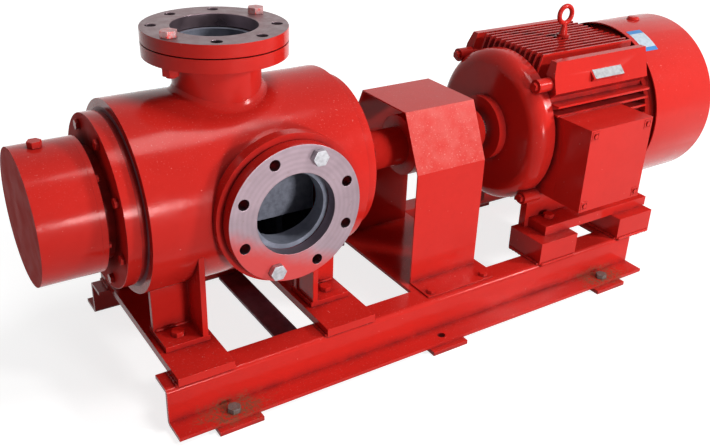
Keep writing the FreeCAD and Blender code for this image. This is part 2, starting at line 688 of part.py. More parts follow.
def casing():
    bore = "(casing_radius - casing_wall)"
    shell = lathe([
        ("-(%s)" % CASING_END, "end_bore"), ("-(%s)" % CASING_END, "spigot_radius"),
        ("-(%s)" % HALF, "spigot_radius"), ("-(%s)" % HALF, "casing_radius"),
        (HALF, "casing_radius"), (HALF, "spigot_radius"),
        (CASING_END, "spigot_radius"), (CASING_END, "end_bore"),
        (CASING_END + " - end_wall", "end_bore"), (CASING_END + " - end_wall", bore),
        ("-(%s - end_wall)" % CASING_END, bore), ("-(%s - end_wall)" % CASING_END, "end_bore"),
    ], AT_PUMP)
    core = rod(bore, left(CASING_END + " - end_wall"), right(CASING_END + " - end_wall"), PUMP_AXIS)
    flange = rod("suction_flange", SUCTION_SEAT, SUCTION_SEAT + " + suction_thickness", SUCTION, "y")
    neck = rod("suction_neck", SUCTION_SEAT, PUMP_Y + " - casing_radius / 2", SUCTION, "y")
    top_flange = rod("flange_radius", DISCHARGE_SEAT + " - flange_thickness", DISCHARGE_SEAT, DISCHARGE, "z")
    stack = rod("nozzle_bore + nozzle_wall", AXIS_Z + " + casing_radius / 2", DISCHARGE_SEAT, DISCHARGE, "z")
    outside = cut(join([flange, neck, top_flange, stack]), [core])
    duct = common(rod("nozzle_bore + nozzle_wall", LINER_TOP, AXIS_Z + " + casing_radius", DISCHARGE, "z"),
                  rod("casing_radius", left(HALF), right(HALF), PUMP_AXIS))
    ribs = []
    for mark in "-+":
        middle = "pump_x %s liner_rib_x" % mark
        rib = block((middle + " - liner_wall / 2", middle + " + liner_wall / 2"),
                    (PUMP_Y + " - centre_distance / 2", PUMP_Y + " + centre_distance / 2"),
                    (AXIS_Z + " - casing_radius + casing_wall / 2", LINER_BOTTOM))
        ribs.append(rib)
    whole = join([shell, outside, duct] + ribs)
    suction_way = rod("nozzle_bore", SUCTION_SEAT + " - past", PUMP_Y + " - casing_radius / 2", SUCTION, "y")
    discharge_way = rod("nozzle_bore", LINER_TOP + " - past", DISCHARGE_SEAT + " + past", DISCHARGE, "z")
    holes = [rod("flange_hole", SUCTION_SEAT + " - past", SUCTION_SEAT + " + suction_hole", spot, "y")
             for spot in around(FLANGE_HOLES, "bolt_circle", SUCTION, HOLE_SHIFT)]
    under = DISCHARGE_SEAT + " - flange_thickness - past"
    holes += [rod("flange_hole", under, DISCHARGE_SEAT + " + past", spot, "z")
              for spot in around(FLANGE_HOLES, "bolt_circle", DISCHARGE, HOLE_SHIFT)]
    return whole, [suction_way, discharge_way] + holes


COVER_BOLT_PLACES = around(COVER_BOLTS, "cover_bolt_circle", PUMP_AXIS, "180 / %d" % COVER_BOLTS)


def pump_casing():
    whole, tools = casing()
    tap = "medium_shank + thread_gap"
    tap_end = CASING_END + " - cover_tap_depth"
    tools += [rod(tap, left(CASING_END + " + past"), left(tap_end), spot) for spot in COVER_BOLT_PLACES]
    tools += [rod(tap, right(tap_end), right(CASING_END + " + past"), spot) for spot in COVER_BOLT_PLACES]
    node("pump_casing", cut(whole, tools))


def pump_feet():
    """Four welded feet: a plate, a long rib and a gusset each, shaped to the casing."""
    feet = []
    bottom, top = PAD_TOP, PAD_TOP + " + foot_thickness"
    for mark in "-+":
        middle = "foot_x %s foot_pitch / 2" % mark
        gusset_far = middle + " %s (gusset_inset + foot_thickness - foot_length / 2)" % mark
        gusset_near = middle + " %s (gusset_inset - foot_length / 2)" % mark
        gusset_x = (gusset_far, gusset_near) if mark == "-" else (gusset_near, gusset_far)
        ends = (middle + " - foot_length / 2", middle + " + foot_length / 2")
        for side in "-+":
            near = PUMP_Y + " %s " % side

            def span(far, close):
                pair = (near + far, near + close)
                return pair if side == "-" else (pair[1], pair[0])
            plate = block(ends, span("foot_reach", "(foot_reach - foot_depth)"), (bottom, top))
            rib = block(ends, span("rib_reach", "(rib_reach - foot_thickness)"),
                        (bottom, AXIS_Z + " - casing_radius / 2"))
            gusset = block(gusset_x, span("foot_reach", "rib_reach"),
                           (bottom, AXIS_Z + " - casing_radius / 4"))
            spot = (middle + " %s foot_bolt_shift" % mark, near + "foot_bolt_reach")
            hole = rod("large_shank + bolt_gap", bottom + " - past", top + " + past", spot, "z")
            body = rod("casing_radius", left(HALF), right(HALF), PUMP_AXIS)
            feet.append(cut(join([plate, rib, gusset]), [body, hole]))
    node("pump_feet", group(feet))
    seat = PAD_TOP + " + foot_thickness"
    tail = RAIL_TOP + " + tap_floor + tap_spare"
    node("pump_foot_bolts", group([large_bolt(seat, tail, spot)
                                   for mark in "-+" for spot in pump_bolts(mark)]))


def screw_liner():
    """Block with two crossing bores, open at both ends and on top in the middle."""
    ends = (left("liner_half_length"), right("liner_half_length"))
    reach = "(screw_radius + liner_gap + liner_wall)"
    body = block(ends, ("-" + reach, "centre_distance + " + reach), (LINER_BOTTOM, LINER_TOP))
    bore_ends = (ends[0] + " - past", ends[1] + " + past")
    bores = [rod("screw_radius + liner_gap", *bore_ends, axis) for axis in SHAFTS]
    outlet_x = (left("outlet_half_length - discharge_x"), right("outlet_half_length + discharge_x"))
    outlet = block(outlet_x, ("0", "centre_distance"), (AXIS_Z, LINER_TOP + " + past"))
    node("screw_liner", cut(body, bores + [outlet]))


def chamber_outer(face):
    return "(%s - chamber_wall)" % face


def span_of(side, low, high):
    """Start and end in rising X for two distances from the middle of the casing."""
    return (left(high), left(low)) if side is left else (right(low), right(high))


def end_cover(label, face, side):
    inner = "(" + CASING_END + " - end_wall)"
    disc = rod("cover_radius", *span_of(side, CASING_END, face), PUMP_AXIS)
    spigot = rod("end_bore - seat_gap", *span_of(side, inner, CASING_END), PUMP_AXIS)
    tools = []
    for axis in SHAFTS:
        tools.append(rod("chamber_bore", *span_of(side, inner + " - past", chamber_outer(face)), axis))
        tools.append(rod("shaft_hole", *span_of(side, inner, face + " + past"), axis))
    for spot in COVER_BOLT_PLACES:
        tools.append(rod("medium_shank + bolt_gap", *span_of(side, inner, face + " + past"), spot))
    node(label, cut(join([disc, spigot]), [join(tools)]))


def cover_bolts():
    tail = "(" + CASING_END + " - cover_tap_depth + tap_spare)"
    bolts = []
    for spot in COVER_BOLT_PLACES:
        bolts.append(medium_bolt(left(GEAR_COVER_FACE), left(tail), spot))
        bolts.append(medium_bolt(right(DRIVE_COVER_FACE), right(tail), spot))
    node("cover_bolts", group(bolts))


CAP_BOLT_PLACES = around(CAP_BOLTS, "cap_bolt_circle", PUMP_AXIS, "15")
CAP_SEAT = "(" + GEAR_HOUSING_FACE + " - cap_flange)"


def gear_end_housing():
    boss = rod("housing_radius", *span_of(left, GEAR_COVER_FACE, GEAR_HOUSING_FACE), PUMP_AXIS)
    flange = rod("cap_radius", *span_of(left, CAP_SEAT, GEAR_HOUSING_FACE), PUMP_AXIS)
    tools = []
    for axis in SHAFTS:
        tools.append(rod("bearing_outer", *span_of(left, GEAR_HOUSING_FACE + " - bearing_width",
                                                    GEAR_HOUSING_FACE + " + past"), axis))
        tools.append(rod("shaft_hole", *span_of(left, GEAR_COVER_FACE + " - past", GEAR_HOUSING_FACE), axis))
    for spot in CAP_BOLT_PLACES:
        ends = span_of(left, CAP_SEAT + " - past", GEAR_HOUSING_FACE + " + past")
        tools.append(rod("small_shank + bolt_gap", *ends, spot))
    node("gear_end_bearing_housing", cut(join([boss, flange]), [join(tools)]))


def gear_cover():
    """Cup over the timing gears, with a thick rim for its bolts and a filler plug on top."""
    cup = lathe([
        ("0", "cap_rim_bore"), ("0", "cap_radius"), ("-cap_length", "cap_radius"), ("-cap_length", "0"),
        ("-cap_length + cap_wall", "0"), ("-cap_length + cap_wall", "cap_radius - cap_wall"),
        ("-cap_rim", "cap_radius - cap_wall"), ("-cap_rim", "cap_rim_bore"),
    ], (left(GEAR_HOUSING_FACE), PUMP_Y, AXIS_Z))
    taps = [rod("small_shank + thread_gap", left(GEAR_HOUSING_FACE + " + cap_rim - tap_floor"),
                left(GEAR_HOUSING_FACE + " - past"), spot) for spot in CAP_BOLT_PLACES]
    plug_x = left(GEAR_HOUSING_FACE + " + plug_offset")
    top = AXIS_Z + " + cap_radius"
    plug_foot = top + " - 2 * cap_wall"
    taps.append(rod("small_shank + thread_gap", plug_foot, top + " + past", (plug_x, PUMP_Y), "z"))
    node("gear_cover", cut(cup, taps))
    node("filler_plug", join([hexagon("plug_flats", top, top + " + plug_head", (plug_x, PUMP_Y), "z"),
                              rod("small_shank", top + " - cap_wall", top, (plug_x, PUMP_Y), "z")]))


BEARING_CAP_PLACES = around(6, "bearing_cap_circle", DRIVE_AXIS, "15")
BOSS_FACE = "(" + DRIVE_HOUSING_FACE + " + bearing_cap_seat)"
BEARING_CAP_FACE = "(" + BOSS_FACE + " + bearing_cap_thickness)"


def drive_end_housing():
    body = rod("housing_radius", *span_of(right, DRIVE_COVER_FACE, DRIVE_HOUSING_FACE), PUMP_AXIS)
    boss = rod("bearing_cap_radius", *span_of(right, DRIVE_COVER_FACE, BOSS_FACE), DRIVE_AXIS)
    seats = span_of(right, DRIVE_COVER_FACE + " - past", DRIVE_COVER_FACE + " + bearing_width")
    tools = [rod("bearing_outer", *seats, axis) for axis in SHAFTS]
    blind = DRIVE_HOUSING_FACE + " - chamber_wall"
    tools.append(rod("shaft_hole", *span_of(right, DRIVE_COVER_FACE, BOSS_FACE + " + past"), DRIVE_AXIS))
    tools.append(rod("shaft_hole", *span_of(right, DRIVE_COVER_FACE, blind), DRIVEN_AXIS))
    taps = span_of(right, BOSS_FACE + " - bearing_cap_tap", BOSS_FACE + " + past")
    tools += [rod("small_shank + thread_gap", *taps, spot) for spot in BEARING_CAP_PLACES]
    node("drive_end_bearing_housing", cut(join([body, boss]), [join(tools)]))
    cap = rod("bearing_cap_radius", *span_of(right, BOSS_FACE, BEARING_CAP_FACE), DRIVE_AXIS)
    through = span_of(right, BOSS_FACE + " - past", BEARING_CAP_FACE + " + past")
    holes = [rod("small_shank + bolt_gap", *through, spot) for spot in BEARING_CAP_PLACES]
    holes.append(rod("coupling_seat + 2 * free_gap", *through, DRIVE_AXIS))
    node("drive_bearing_cap", cut(cap, holes))
    cap_tail = BOSS_FACE + " - bearing_cap_tap + tap_spare"
    rim_tail = GEAR_HOUSING_FACE + " + cap_rim - tap_floor - tap_spare"
    bolts = [small_bolt(right(BEARING_CAP_FACE), right(cap_tail), spot) for spot in BEARING_CAP_PLACES]
    bolts += [small_bolt(left(CAP_SEAT), left(rim_tail), spot) for spot in CAP_BOLT_PLACES]
    node("housing_bolts", group(bolts))


# Pipe flanges

def pipe_flanges():
    upright = FreeCAD.Rotation(FreeCAD.Vector(1, 0, 0), -90)
    thick = "flange_thickness"
    suction_at = (SUCTION[0], SUCTION_FACE, SUCTION[1])
    suction = flange_body("flange_radius", "flange_bore", thick, suction_at, upright)
    node("suction_companion_flange", suction)
    discharge = flange_body("flange_radius", "flange_bore", thick,
                            DISCHARGE + (DISCHARGE_FACE + " - flange_thickness",), FreeCAD.Rotation())
    node("discharge_companion_flange", discharge)
    gaskets = []
    gasket_places = ((SUCTION_SEAT + " - gasket_thickness", SUCTION, "y"), (DISCHARGE_SEAT, DISCHARGE, "z"))
    for start, spot, along in gasket_places:
        ends = (start, start + " + gasket_thickness")
        disc = rod("bolt_circle - flange_hole - gasket_inset", ends[0], ends[1], spot, along)
        gaskets.append(cut(disc, [rod("flange_bore + gasket_inset", ends[0], ends[1], spot, along)]))
    node("flange_gaskets", group(gaskets))
    bolts = []
    nuts = []
    sizes = ("flange_shank", "flange_flats", "flange_head")
    suction_spots = around(FLANGE_HOLES, "bolt_circle", SUCTION, HOLE_SHIFT)
    discharge_spots = around(FLANGE_HOLES, "bolt_circle", DISCHARGE, HOLE_SHIFT)
    for index in SUCTION_BOLTS:
        tail = SUCTION_SEAT + " + suction_thickness"
        bolts.append(bolt(*sizes, SUCTION_FACE, tail, suction_spots[index], "y"))
    for index in DISCHARGE_BOLTS:
        seat = DISCHARGE_SEAT + " - flange_thickness"
        tail = seat + " - flange_nut - bolt_tail"
        bolts.append(bolt(*sizes, DISCHARGE_FACE, tail, discharge_spots[index], "z"))
        nut = hexagon("flange_flats", seat + " - flange_nut", seat, discharge_spots[index], "z")
        thread = rod("flange_shank + thread_gap", seat + " - flange_nut - past", seat + " + past",
                     discharge_spots[index], "z")
        nuts.append(cut(nut, [thread]))
    node("flange_bolts", group(bolts + nuts))


# Rotors

GEAR_START = "(" + GEAR_HOUSING_FACE + " + gear_offset)"
GEAR_END = "(" + GEAR_START + " + gear_width)"
TAIL_END = "(" + GEAR_HOUSING_FACE + " + gear_tail)"
PUMP_HALF_END = "(hub_start + pump_half_length)"
DRIVE_BEARING_END = "(" + DRIVE_COVER_FACE + " + bearing_width)"


def stepped_shaft(label, axis, driven):
    steps = [
        ("-" + TAIL_END, "gear_seat"), ("-" + GEAR_HOUSING_FACE, "bearing_bore"),
        ("-" + GEAR_COVER_FACE, "seal_seat"), ("-liner_half_length", "screw_seat"),
        ("liner_half_length", "seal_seat"), (DRIVE_COVER_FACE, "bearing_bore"),
    ]
    end = DRIVE_BEARING_END + " + free_gap"
    if not driven:
        steps.append((DRIVE_BEARING_END, "coupling_seat"))
        end = PUMP_HALF_END
    pieces = []
    for index, (start, radius) in enumerate(steps):
        stop = steps[index + 1][0] if index + 1 < len(steps) else end
        pieces.append(rod(radius, "pump_x + " + start, "pump_x + " + stop, axis))
    node(label, join(pieces))


def thread_shape(hand, turn):
    """One screw of a rotor: a root cylinder with a square thread, bored for the shaft."""
    root, outer = value("screw_root"), value("screw_radius")
    pitch, length = value("screw_pitch"), value("screw_length")
    width = pitch / 2 - 2 * value("flank_gap")
    over, under = 1.0, 2.0
    helix = Part.makeHelix(pitch, length + width, outer, 0, hand < 0)
    low, high = root - under, outer + over
    corners = [(low, 0), (high, 0), (high, width), (low, width), (low, 0)]
    profile = Part.makePolygon([FreeCAD.Vector(x, 0, z) for x, z in corners])
    thread = Part.Wire(helix).makePipeShell([profile], True, True)
    thread.translate(FreeCAD.Vector(0, 0, -width))
    thread = thread.common(Part.makeCylinder(outer, length))
    body = Part.makeCylinder(root, length).fuse(thread)
    body = body.cut(Part.makeCylinder(value("screw_seat"), length))
    body.rotate(FreeCAD.Vector(), FreeCAD.Vector(0, 0, 1), turn)
    return body


def screws(label, axis, hand, turn):
    """Two screws of opposite hand on one shaft, mirror images across the liner's middle."""
    shape = thread_shape(hand, turn)
    shape.rotate(FreeCAD.Vector(), FreeCAD.Vector(0, 1, 0), 90)
    shape.translate(FreeCAD.Vector(value("screw_middle"), 0, 0))
    twin = shape.mirror(FreeCAD.Vector(), FreeCAD.Vector(1, 0, 0))
    item = doc.addObject("Part::Feature", "screws")
    item.Shape = Part.makeCompound([shape, twin])
    place(item, (PUMP_X, axis[0], axis[1]))
    node(label, item)


def involute(base, angle):
    return FreeCAD.Vector(base * (math.cos(angle) + angle * math.sin(angle)),
                          base * (math.sin(angle) - angle * math.cos(angle)), 0)


def gear_shape(first_angle):
    """Spur gear with involute flanks, on Z, with a tooth at the given angle."""
    teeth = int(value("gear_teeth"))
    pitch_radius = value("centre_distance") / 2
    module = 2 * pitch_radius / teeth
    pressure = math.radians(20)
    base = pitch_radius * math.cos(pressure)
    dedendum = 1.25
    tip, root = pitch_radius + module, pitch_radius - dedendum * module
    roll_tip = math.sqrt((tip / base) ** 2 - 1)
    roll_start = math.sqrt((root / base) ** 2 - 1) if root > base else 0.0
    roll_pitch = math.tan(pressure)
    half = math.pi / (2 * teeth) - value("gear_backlash") / (4 * pitch_radius) + roll_pitch - pressure
    steps = 5
    flank = [involute(base, roll_start + (roll_tip - roll_start) * step / steps) for step in range(steps + 1)]
    turn = FreeCAD.Rotation(FreeCAD.Vector(0, 0, 1), -math.degrees(half))
    lower = [turn.multVec(spot) for spot in flank]
    upper = [FreeCAD.Vector(spot.x, -spot.y, 0) for spot in lower]
    edges = []
    for number in range(teeth):
        spin = FreeCAD.Rotation(FreeCAD.Vector(0, 0, 1), first_angle + 360.0 * number / teeth)
        after = FreeCAD.Rotation(FreeCAD.Vector(0, 0, 1), first_angle + 360.0 * (number + 1) / teeth)
        low = [spin.multVec(spot) for spot in lower]
        high = [spin.multVec(spot) for spot in upper]
        following = after.multVec(lower[0])
        low_foot = FreeCAD.Vector(low[0]).normalize() * root
        high_foot = FreeCAD.Vector(high[0]).normalize() * root
        next_foot = FreeCAD.Vector(following).normalize() * root
        rising = Part.BSplineCurve()
        rising.interpolate(low)
        falling = Part.BSplineCurve()
        falling.interpolate(list(reversed(high)))
        middle = (low[-1] + high[-1]).normalize() * tip
        valley = (high_foot + next_foot).normalize() * root
        edges.append(Part.LineSegment(low_foot, low[0]).toShape())
        edges.append(rising.toShape())
        edges.append(Part.Arc(low[-1], middle, high[-1]).toShape())
        edges.append(falling.toShape())
        edges.append(Part.LineSegment(high[0], high_foot).toShape())
        edges.append(Part.Arc(high_foot, valley, next_foot).toShape())
    face = Part.Face(Part.Wire(Part.__sortEdges__(edges)))
    gear = face.extrude(FreeCAD.Vector(0, 0, value("gear_width")))
    return gear.cut(Part.makeCylinder(value("gear_seat"), value("gear_width")))


def timing_gear(label, axis, first_angle):
    item = doc.addObject("Part::Feature", "gear")
    item.Shape = gear_shape(first_angle)
    z_to_x = FreeCAD.Rotation(FreeCAD.Vector(1, 1, 1), 120)
    place(item, (left(GEAR_END), axis[0], axis[1]), z_to_x)
    node(label, item)


PUMP_BALLS = 9
MOTOR_BALLS = 8


def ring_pair(inner, outer, height, groove, start, end, axis):
    """Inner and outer ring of a ball bearing, with one ball groove between them."""
    middle = "((%s) + (%s)) / 2" % (inner, outer)
    centre = "((%s) + (%s)) / 2" % (start, end)
    rings = []
    for low, high in ((inner, "(%s) + %s" % (inner, height)), ("(%s) - %s" % (outer, height), outer)):
        ring = cut(rod(high, start, end, axis), [rod(low, start, end, axis)])
        path = torus(middle, groove, (centre,) + axis, TURNS["x"])
        rings.append(cut(ring, [path]))
    return rings


def balls(count, inner, outer, groove, start, end, axis):
    middle = "((%s) + (%s)) / 2" % (inner, outer)
    centre = "((%s) + (%s)) / 2" % (start, end)
    return [sphere(groove + " - running_gap", (centre,) + spot) for spot in around(count, middle, axis)]


def pump_bearings():
    spans = [span_of(left, GEAR_HOUSING_FACE + " - bearing_width", GEAR_HOUSING_FACE),
             span_of(right, DRIVE_COVER_FACE, DRIVE_BEARING_END)]
    sizes = ("bearing_bore", "bearing_outer")
    outer, ball = [], []
    inner = {}
    for name, axis in (("drive", DRIVE_AXIS), ("driven", DRIVEN_AXIS)):
        inner[name] = []
        for start, end in spans:
            small, large = ring_pair(*sizes, "bearing_ring", "bearing_ball", start, end, axis)
            inner[name].append(small)
            outer.append(large)
            ball += balls(PUMP_BALLS, *sizes, "bearing_ball", start, end, axis)
        node(name + "_bearing_inner_rings", group(inner[name]))
    node("pump_bearings", group(outer + ball))


def seals():
    fixed = []
    for name, axis in (("drive", DRIVE_AXIS), ("driven", DRIVEN_AXIS)):
        heads = []
        for face, side in SEAL_SIDES:
            outer = chamber_outer(face)
            seat = "(%s - seal_ring_width)" % outer
            head = "(%s - seal_head_width)" % seat
            ring = rod("chamber_bore", *span_of(side, seat, outer), axis)
            way = span_of(side, seat + " - past", outer + " + past")
            fixed.append(cut(ring, [rod("shaft_hole", *way, axis)]))
            body = rod("seal_head_radius", *span_of(side, head, seat + " - running_gap"), axis)
            bore = span_of(side, head + " - past", seat + " + past")
            heads.append(cut(body, [rod("seal_seat", *bore, axis)]))
        node(name + "_seal_heads", group(heads))
    node("seal_seats", group(fixed))


def rotors():
    stepped_shaft("drive_shaft", DRIVE_AXIS, False)
    stepped_shaft("driven_shaft", DRIVEN_AXIS, True)
    screws("drive_screws", DRIVE_AXIS, 1, 0.0)
    screws("driven_screws", DRIVEN_AXIS, -1, 180.0)
    timing_gear("drive_timing_gear", DRIVE_AXIS, 0.0)
    timing_gear("driven_timing_gear", DRIVEN_AXIS, 180.0 + 180.0 / value("gear_teeth"))


# Coupling and guard

MOTOR_HALF_START = "(pump_x + " + PUMP_HALF_END + " + coupling_gap)"
MOTOR_HALF_END = "(shaft_shoulder - hub_play)"
SHAFT_TIP = "(shaft_shoulder - extension_length)"
COUPLING_PINS = 6


def coupling():
    start, end = right("hub_start"), right(PUMP_HALF_END)
    half = join([rod("pump_hub_radius", start, end, DRIVE_AXIS),
                 rod("flange_half_radius", end + " - pin_flange", end, DRIVE_AXIS)])
    spots = around(COUPLING_PINS, "pin_circle", DRIVE_AXIS)
    tools = [rod("coupling_seat", start + " - past", end + " + past", DRIVE_AXIS)]
    bush_foot = end + " - pin_depth - free_gap"
    tools += [rod("bush_radius + free_gap", bush_foot, end + " + past", spot) for spot in spots]
    node("pump_coupling_half", cut(half, tools))
    flange_end = MOTOR_HALF_START + " + pin_flange"
    flange = rod("flange_half_radius", MOTOR_HALF_START, flange_end, DRIVE_AXIS)
    hub = rod("motor_hub_radius", MOTOR_HALF_START, MOTOR_HALF_END, DRIVE_AXIS)
    bore = rod("extension_radius", MOTOR_HALF_START + " - past", MOTOR_HALF_END + " + past", DRIVE_AXIS)
    pin_ends = (MOTOR_HALF_START + " - past", flange_end + " + past")
    pin_holes = [rod("pin_radius", *pin_ends, spot) for spot in spots]
    node("motor_coupling_half", cut(join([flange, hub]), [bore] + pin_holes))
    pins = [rod("pin_radius", end + " - pin_depth", flange_end, spot) for spot in spots]
    bushes = []
    for spot in spots:
        sleeve = rod("bush_radius", end + " - pin_depth", end, spot)
        bushes.append(cut(sleeve, [rod("pin_radius", end + " - pin_depth - past", end + " + past", spot)]))
    node("coupling_pins", group(pins + bushes))


def coupling_guard():
    """Bent sheet tunnel on two feet, open at both ends."""
    slant = "atan((guard_half_width - guard_top_half) / (guard_height - guard_fold))"
    fold_drop = "guard_sheet * tan(%s / 2)" % slant
    top_cut = "guard_sheet * tan((90 deg - %s) / 2)" % slant
    foot = "web_half_width - guard_foot_inset"
    outer = [(foot, "0"), (foot, "guard_sheet"), ("guard_half_width", "guard_sheet"),
             ("guard_half_width", "guard_fold"), ("guard_top_half", "guard_height")]
    wall = "guard_half_width - guard_sheet"
    inner = [(wall, "0"), (wall, "guard_fold - " + fold_drop),
             ("guard_top_half - " + top_cut, "guard_height - guard_sheet")]
    mirrored = [[("-(%s)" % y, z) for y, z in reversed(points)] for points in (outer, inner)]
    points = outer + mirrored[0] + [(y, z) for y, z in reversed(mirrored[1])] + list(reversed(inner))
    sheet_body = extrusion("YZ_Plane", points, "guard_length", ("guard_x - guard_length / 2", "0", RAIL_TOP))
    seat = RAIL_TOP + " + guard_sheet"
    ends = (RAIL_TOP + " - past", seat + " + past")
    holes = [rod("medium_shank + bolt_gap", *ends, spot, "z") for spot in GUARD_BOLTS]
    node("coupling_guard", cut(sheet_body, holes))
    tail = RAIL_TOP + " - rail_wall"
    node("guard_bolts", group([medium_bolt(seat, tail, spot, "z") for spot in GUARD_BOLTS]))


# Motor

FRAME_END = "(frame_start + frame_length)"
BAR_TOP = SUPPORT_TOP + " + foot_bar_thickness"
BOX_X = ("box_x - box_width / 2", "box_x + box_width / 2")
BOX_MIDDLE_Z = "(" + AXIS_Z + " - box_drop)"
BOX_Z = (BOX_MIDDLE_Z + " - box_height / 2", BOX_MIDDLE_Z + " + box_height / 2")
GLAND_Z = "(" + BOX_MIDDLE_Z + " - box_height / 4)"
LID_Y = ("-box_front", "-box_front + lid_thickness")
PLATE_X = ("plate_x - plate_length / 2", "plate_x + plate_length / 2")
FIN_X = ("frame_start + frame_ring", FRAME_END + " - frame_ring")
TOP_FINS = 6
SIDE_FINS = 5
LOW_FINS = 5
FAN_BLADES = 8
HOOD_SLOTS = 6
SQUARE = "45"
EARS = around(4, "ear_reach", DRIVE_AXIS, SQUARE)
HOOD_EARS = around(4, "hood_ear_reach", DRIVE_AXIS, SQUARE)
FRONT_START = "(shield_boss_start + shield_lip)"
FRONT_BEARING = (FRONT_START, "(" + FRONT_START + " + motor_bearing_width)")
REAR_START = "(" + FRAME_END + " + rear_bearing_gap)"
REAR_BEARING = (REAR_START, "(" + REAR_START + " + motor_bearing_width)")
TAP = "medium_shank + thread_gap"


def fin_rows():
    """Pairs of a spot across the fins and the block's ends there, for each direction of fins."""
    half = " %s fin_thickness / 2"
    rows = []
    for number in range(-TOP_FINS, TOP_FINS):
        y = "(%s * fin_pitch)" % (number + 0.5)
        rows.append(block(FIN_X, (y + half % "-", y + half % "+"), (AXIS_Z, AXIS_Z + " + fin_reach")))
    for number in range(-LOW_FINS, LOW_FINS):
        y = "(%s * fin_pitch)" % (number + 0.5)
        rows.append(block(FIN_X, (y + half % "-", y + half % "+"), (AXIS_Z + " - low_fin_reach", AXIS_Z)))
    for number in range(-SIDE_FINS, SIDE_FINS):
        z = AXIS_Z + " + (%s * side_fin_pitch)" % (number + 0.5)
        rows.append(block(FIN_X, ("-side_fin_reach", "side_fin_reach"), (z + half % "-", z + half % "+")))
    return rows


def frame_panel(sign):
    """Cast panel beside the top fins, with a crease along it."""
    points = [
        ("panel_inner", "0"), ("panel_inner", "panel_top"), ("panel_edge", "panel_top"),
        ("panel_crease", "panel_crease_rise"), ("panel_foot", "panel_foot_rise"),
        ("frame_bore", "panel_under"), ("panel_inner + frame_radius - frame_bore", "0"),
    ]
    if sign == "-":
        points = [("-(%s)" % y, z) for y, z in reversed(points)]
    return extrusion("YZ_Plane", points, "(%s) - (%s)" % (FIN_X[1], FIN_X[0]), (FIN_X[0], "0", AXIS_Z))


def rake_cutter():
    """Leaning block that takes the drive ends off the top fins and the panels."""
    length = "frame_ring_radius"
    cutter = block(("0", length), ("-fin_reach", "fin_reach"), ("0", length))
    at = (FIN_X[0] + " - %s * cos(fin_rake)" % length, "-fin_reach",
          AXIS_Z + " + fin_root + %s * sin(fin_rake)" % length)
    place(cutter, at, FreeCAD.Rotation(FreeCAD.Vector(0, 1, 0), value("fin_rake")))
    return cutter


def frame_feet():
    feet = []
    bar_x = ("motor_foot_x - foot_bar_length / 2", "motor_foot_x + foot_bar_length / 2")
    near, far = "(foot_bar_edge - foot_bar_width)", "foot_bar_edge"
    for sign in "-+":
        bar_y = ("-" + far, "-" + near) if sign == "-" else (near, far)
        leg_y = ("-leg_thickness - " + near, "-" + near) if sign == "-" else (near, near + " + leg_thickness")
        feet.append(block(bar_x, bar_y, (SUPPORT_TOP, BAR_TOP)))
        feet.append(block(("frame_start", FRAME_END), leg_y, (SUPPORT_TOP, AXIS_Z + " - frame_radius / 2")))
    return feet


def motor_frame():
    barrel = lathe([
        ("frame_start", "frame_bore"), ("frame_start", "frame_ring_radius"),
        (FIN_X[0], "frame_ring_radius"), (FIN_X[0], "frame_radius"),
        (FIN_X[1], "frame_radius"), (FIN_X[1], "frame_ring_radius"),
        (FRAME_END, "frame_ring_radius"), (FRAME_END, "frame_bore"),
    ], ("0", "0", AXIS_Z))
    beside_box = block((FIN_X[0], BOX_X[1] + " + 2 * fin_thickness"), ("-2 * fin_reach", "0"), BOX_Z)
    finned = cut(join(fin_rows() + [frame_panel("-"), frame_panel("+")]), [beside_box, rake_cutter()])
    box_boss = block(BOX_X, ("-box_back", "0"), BOX_Z)
    plate = block(PLATE_X, ("-plate_half", "plate_half"), ("0", "plate_reach"))
    place(plate, (PLATE_X[0], "-plate_half * cos(%s)" % SQUARE, AXIS_Z + " - plate_half * sin(%s)" % SQUARE),
          FreeCAD.Rotation(FreeCAD.Vector(1, 0, 0), float(SQUARE)))
    top = AXIS_Z + " + fin_reach"
    post = rod("eyebolt_post", AXIS_Z, top, ("eyebolt_x", "0"), "z")
    ears = [rod("ear_radius", "frame_start", "frame_start + ear_length", spot) for spot in EARS]
    ears += [rod("ear_radius", FRAME_END + " - ear_length", FRAME_END, spot) for spot in HOOD_EARS]
    inside = rod("(frame_bore + frame_radius) / 2", "frame_start - past", FRAME_END + " + past", DRIVE_AXIS)
    upper = cut(join([finned, box_boss, plate, post]), [inside])
    feet = cut(join(frame_feet()), [inside])
    tools = []
    foot = (SUPPORT_TOP + " - past", BAR_TOP + " + past")
    for x in MOTOR_BOLT_X:
        tools += [rod("large_shank + bolt_gap", *foot, (x, y), "z") for y in MOTOR_BOLT_Y]
    tools.append(rod(TAP, top + " - eyebolt_tap", top + " + past", ("eyebolt_x", "0"), "z"))
    tools += [rod(TAP, "frame_start - past", "frame_start + ear_length - tap_floor", spot) for spot in EARS]
    rear_tap = FRAME_END + " - ear_length + tap_floor"
    tools += [rod(TAP, rear_tap, FRAME_END + " + past", spot) for spot in HOOD_EARS]
    node("motor_frame", cut(join([barrel, upper, feet] + ears), tools))
    node("motor_foot_bolts", group([large_bolt(BAR_TOP, SUPPORT_TOP + " - support_wall", (x, y))
                                    for x in MOTOR_BOLT_X for y in MOTOR_BOLT_Y]))


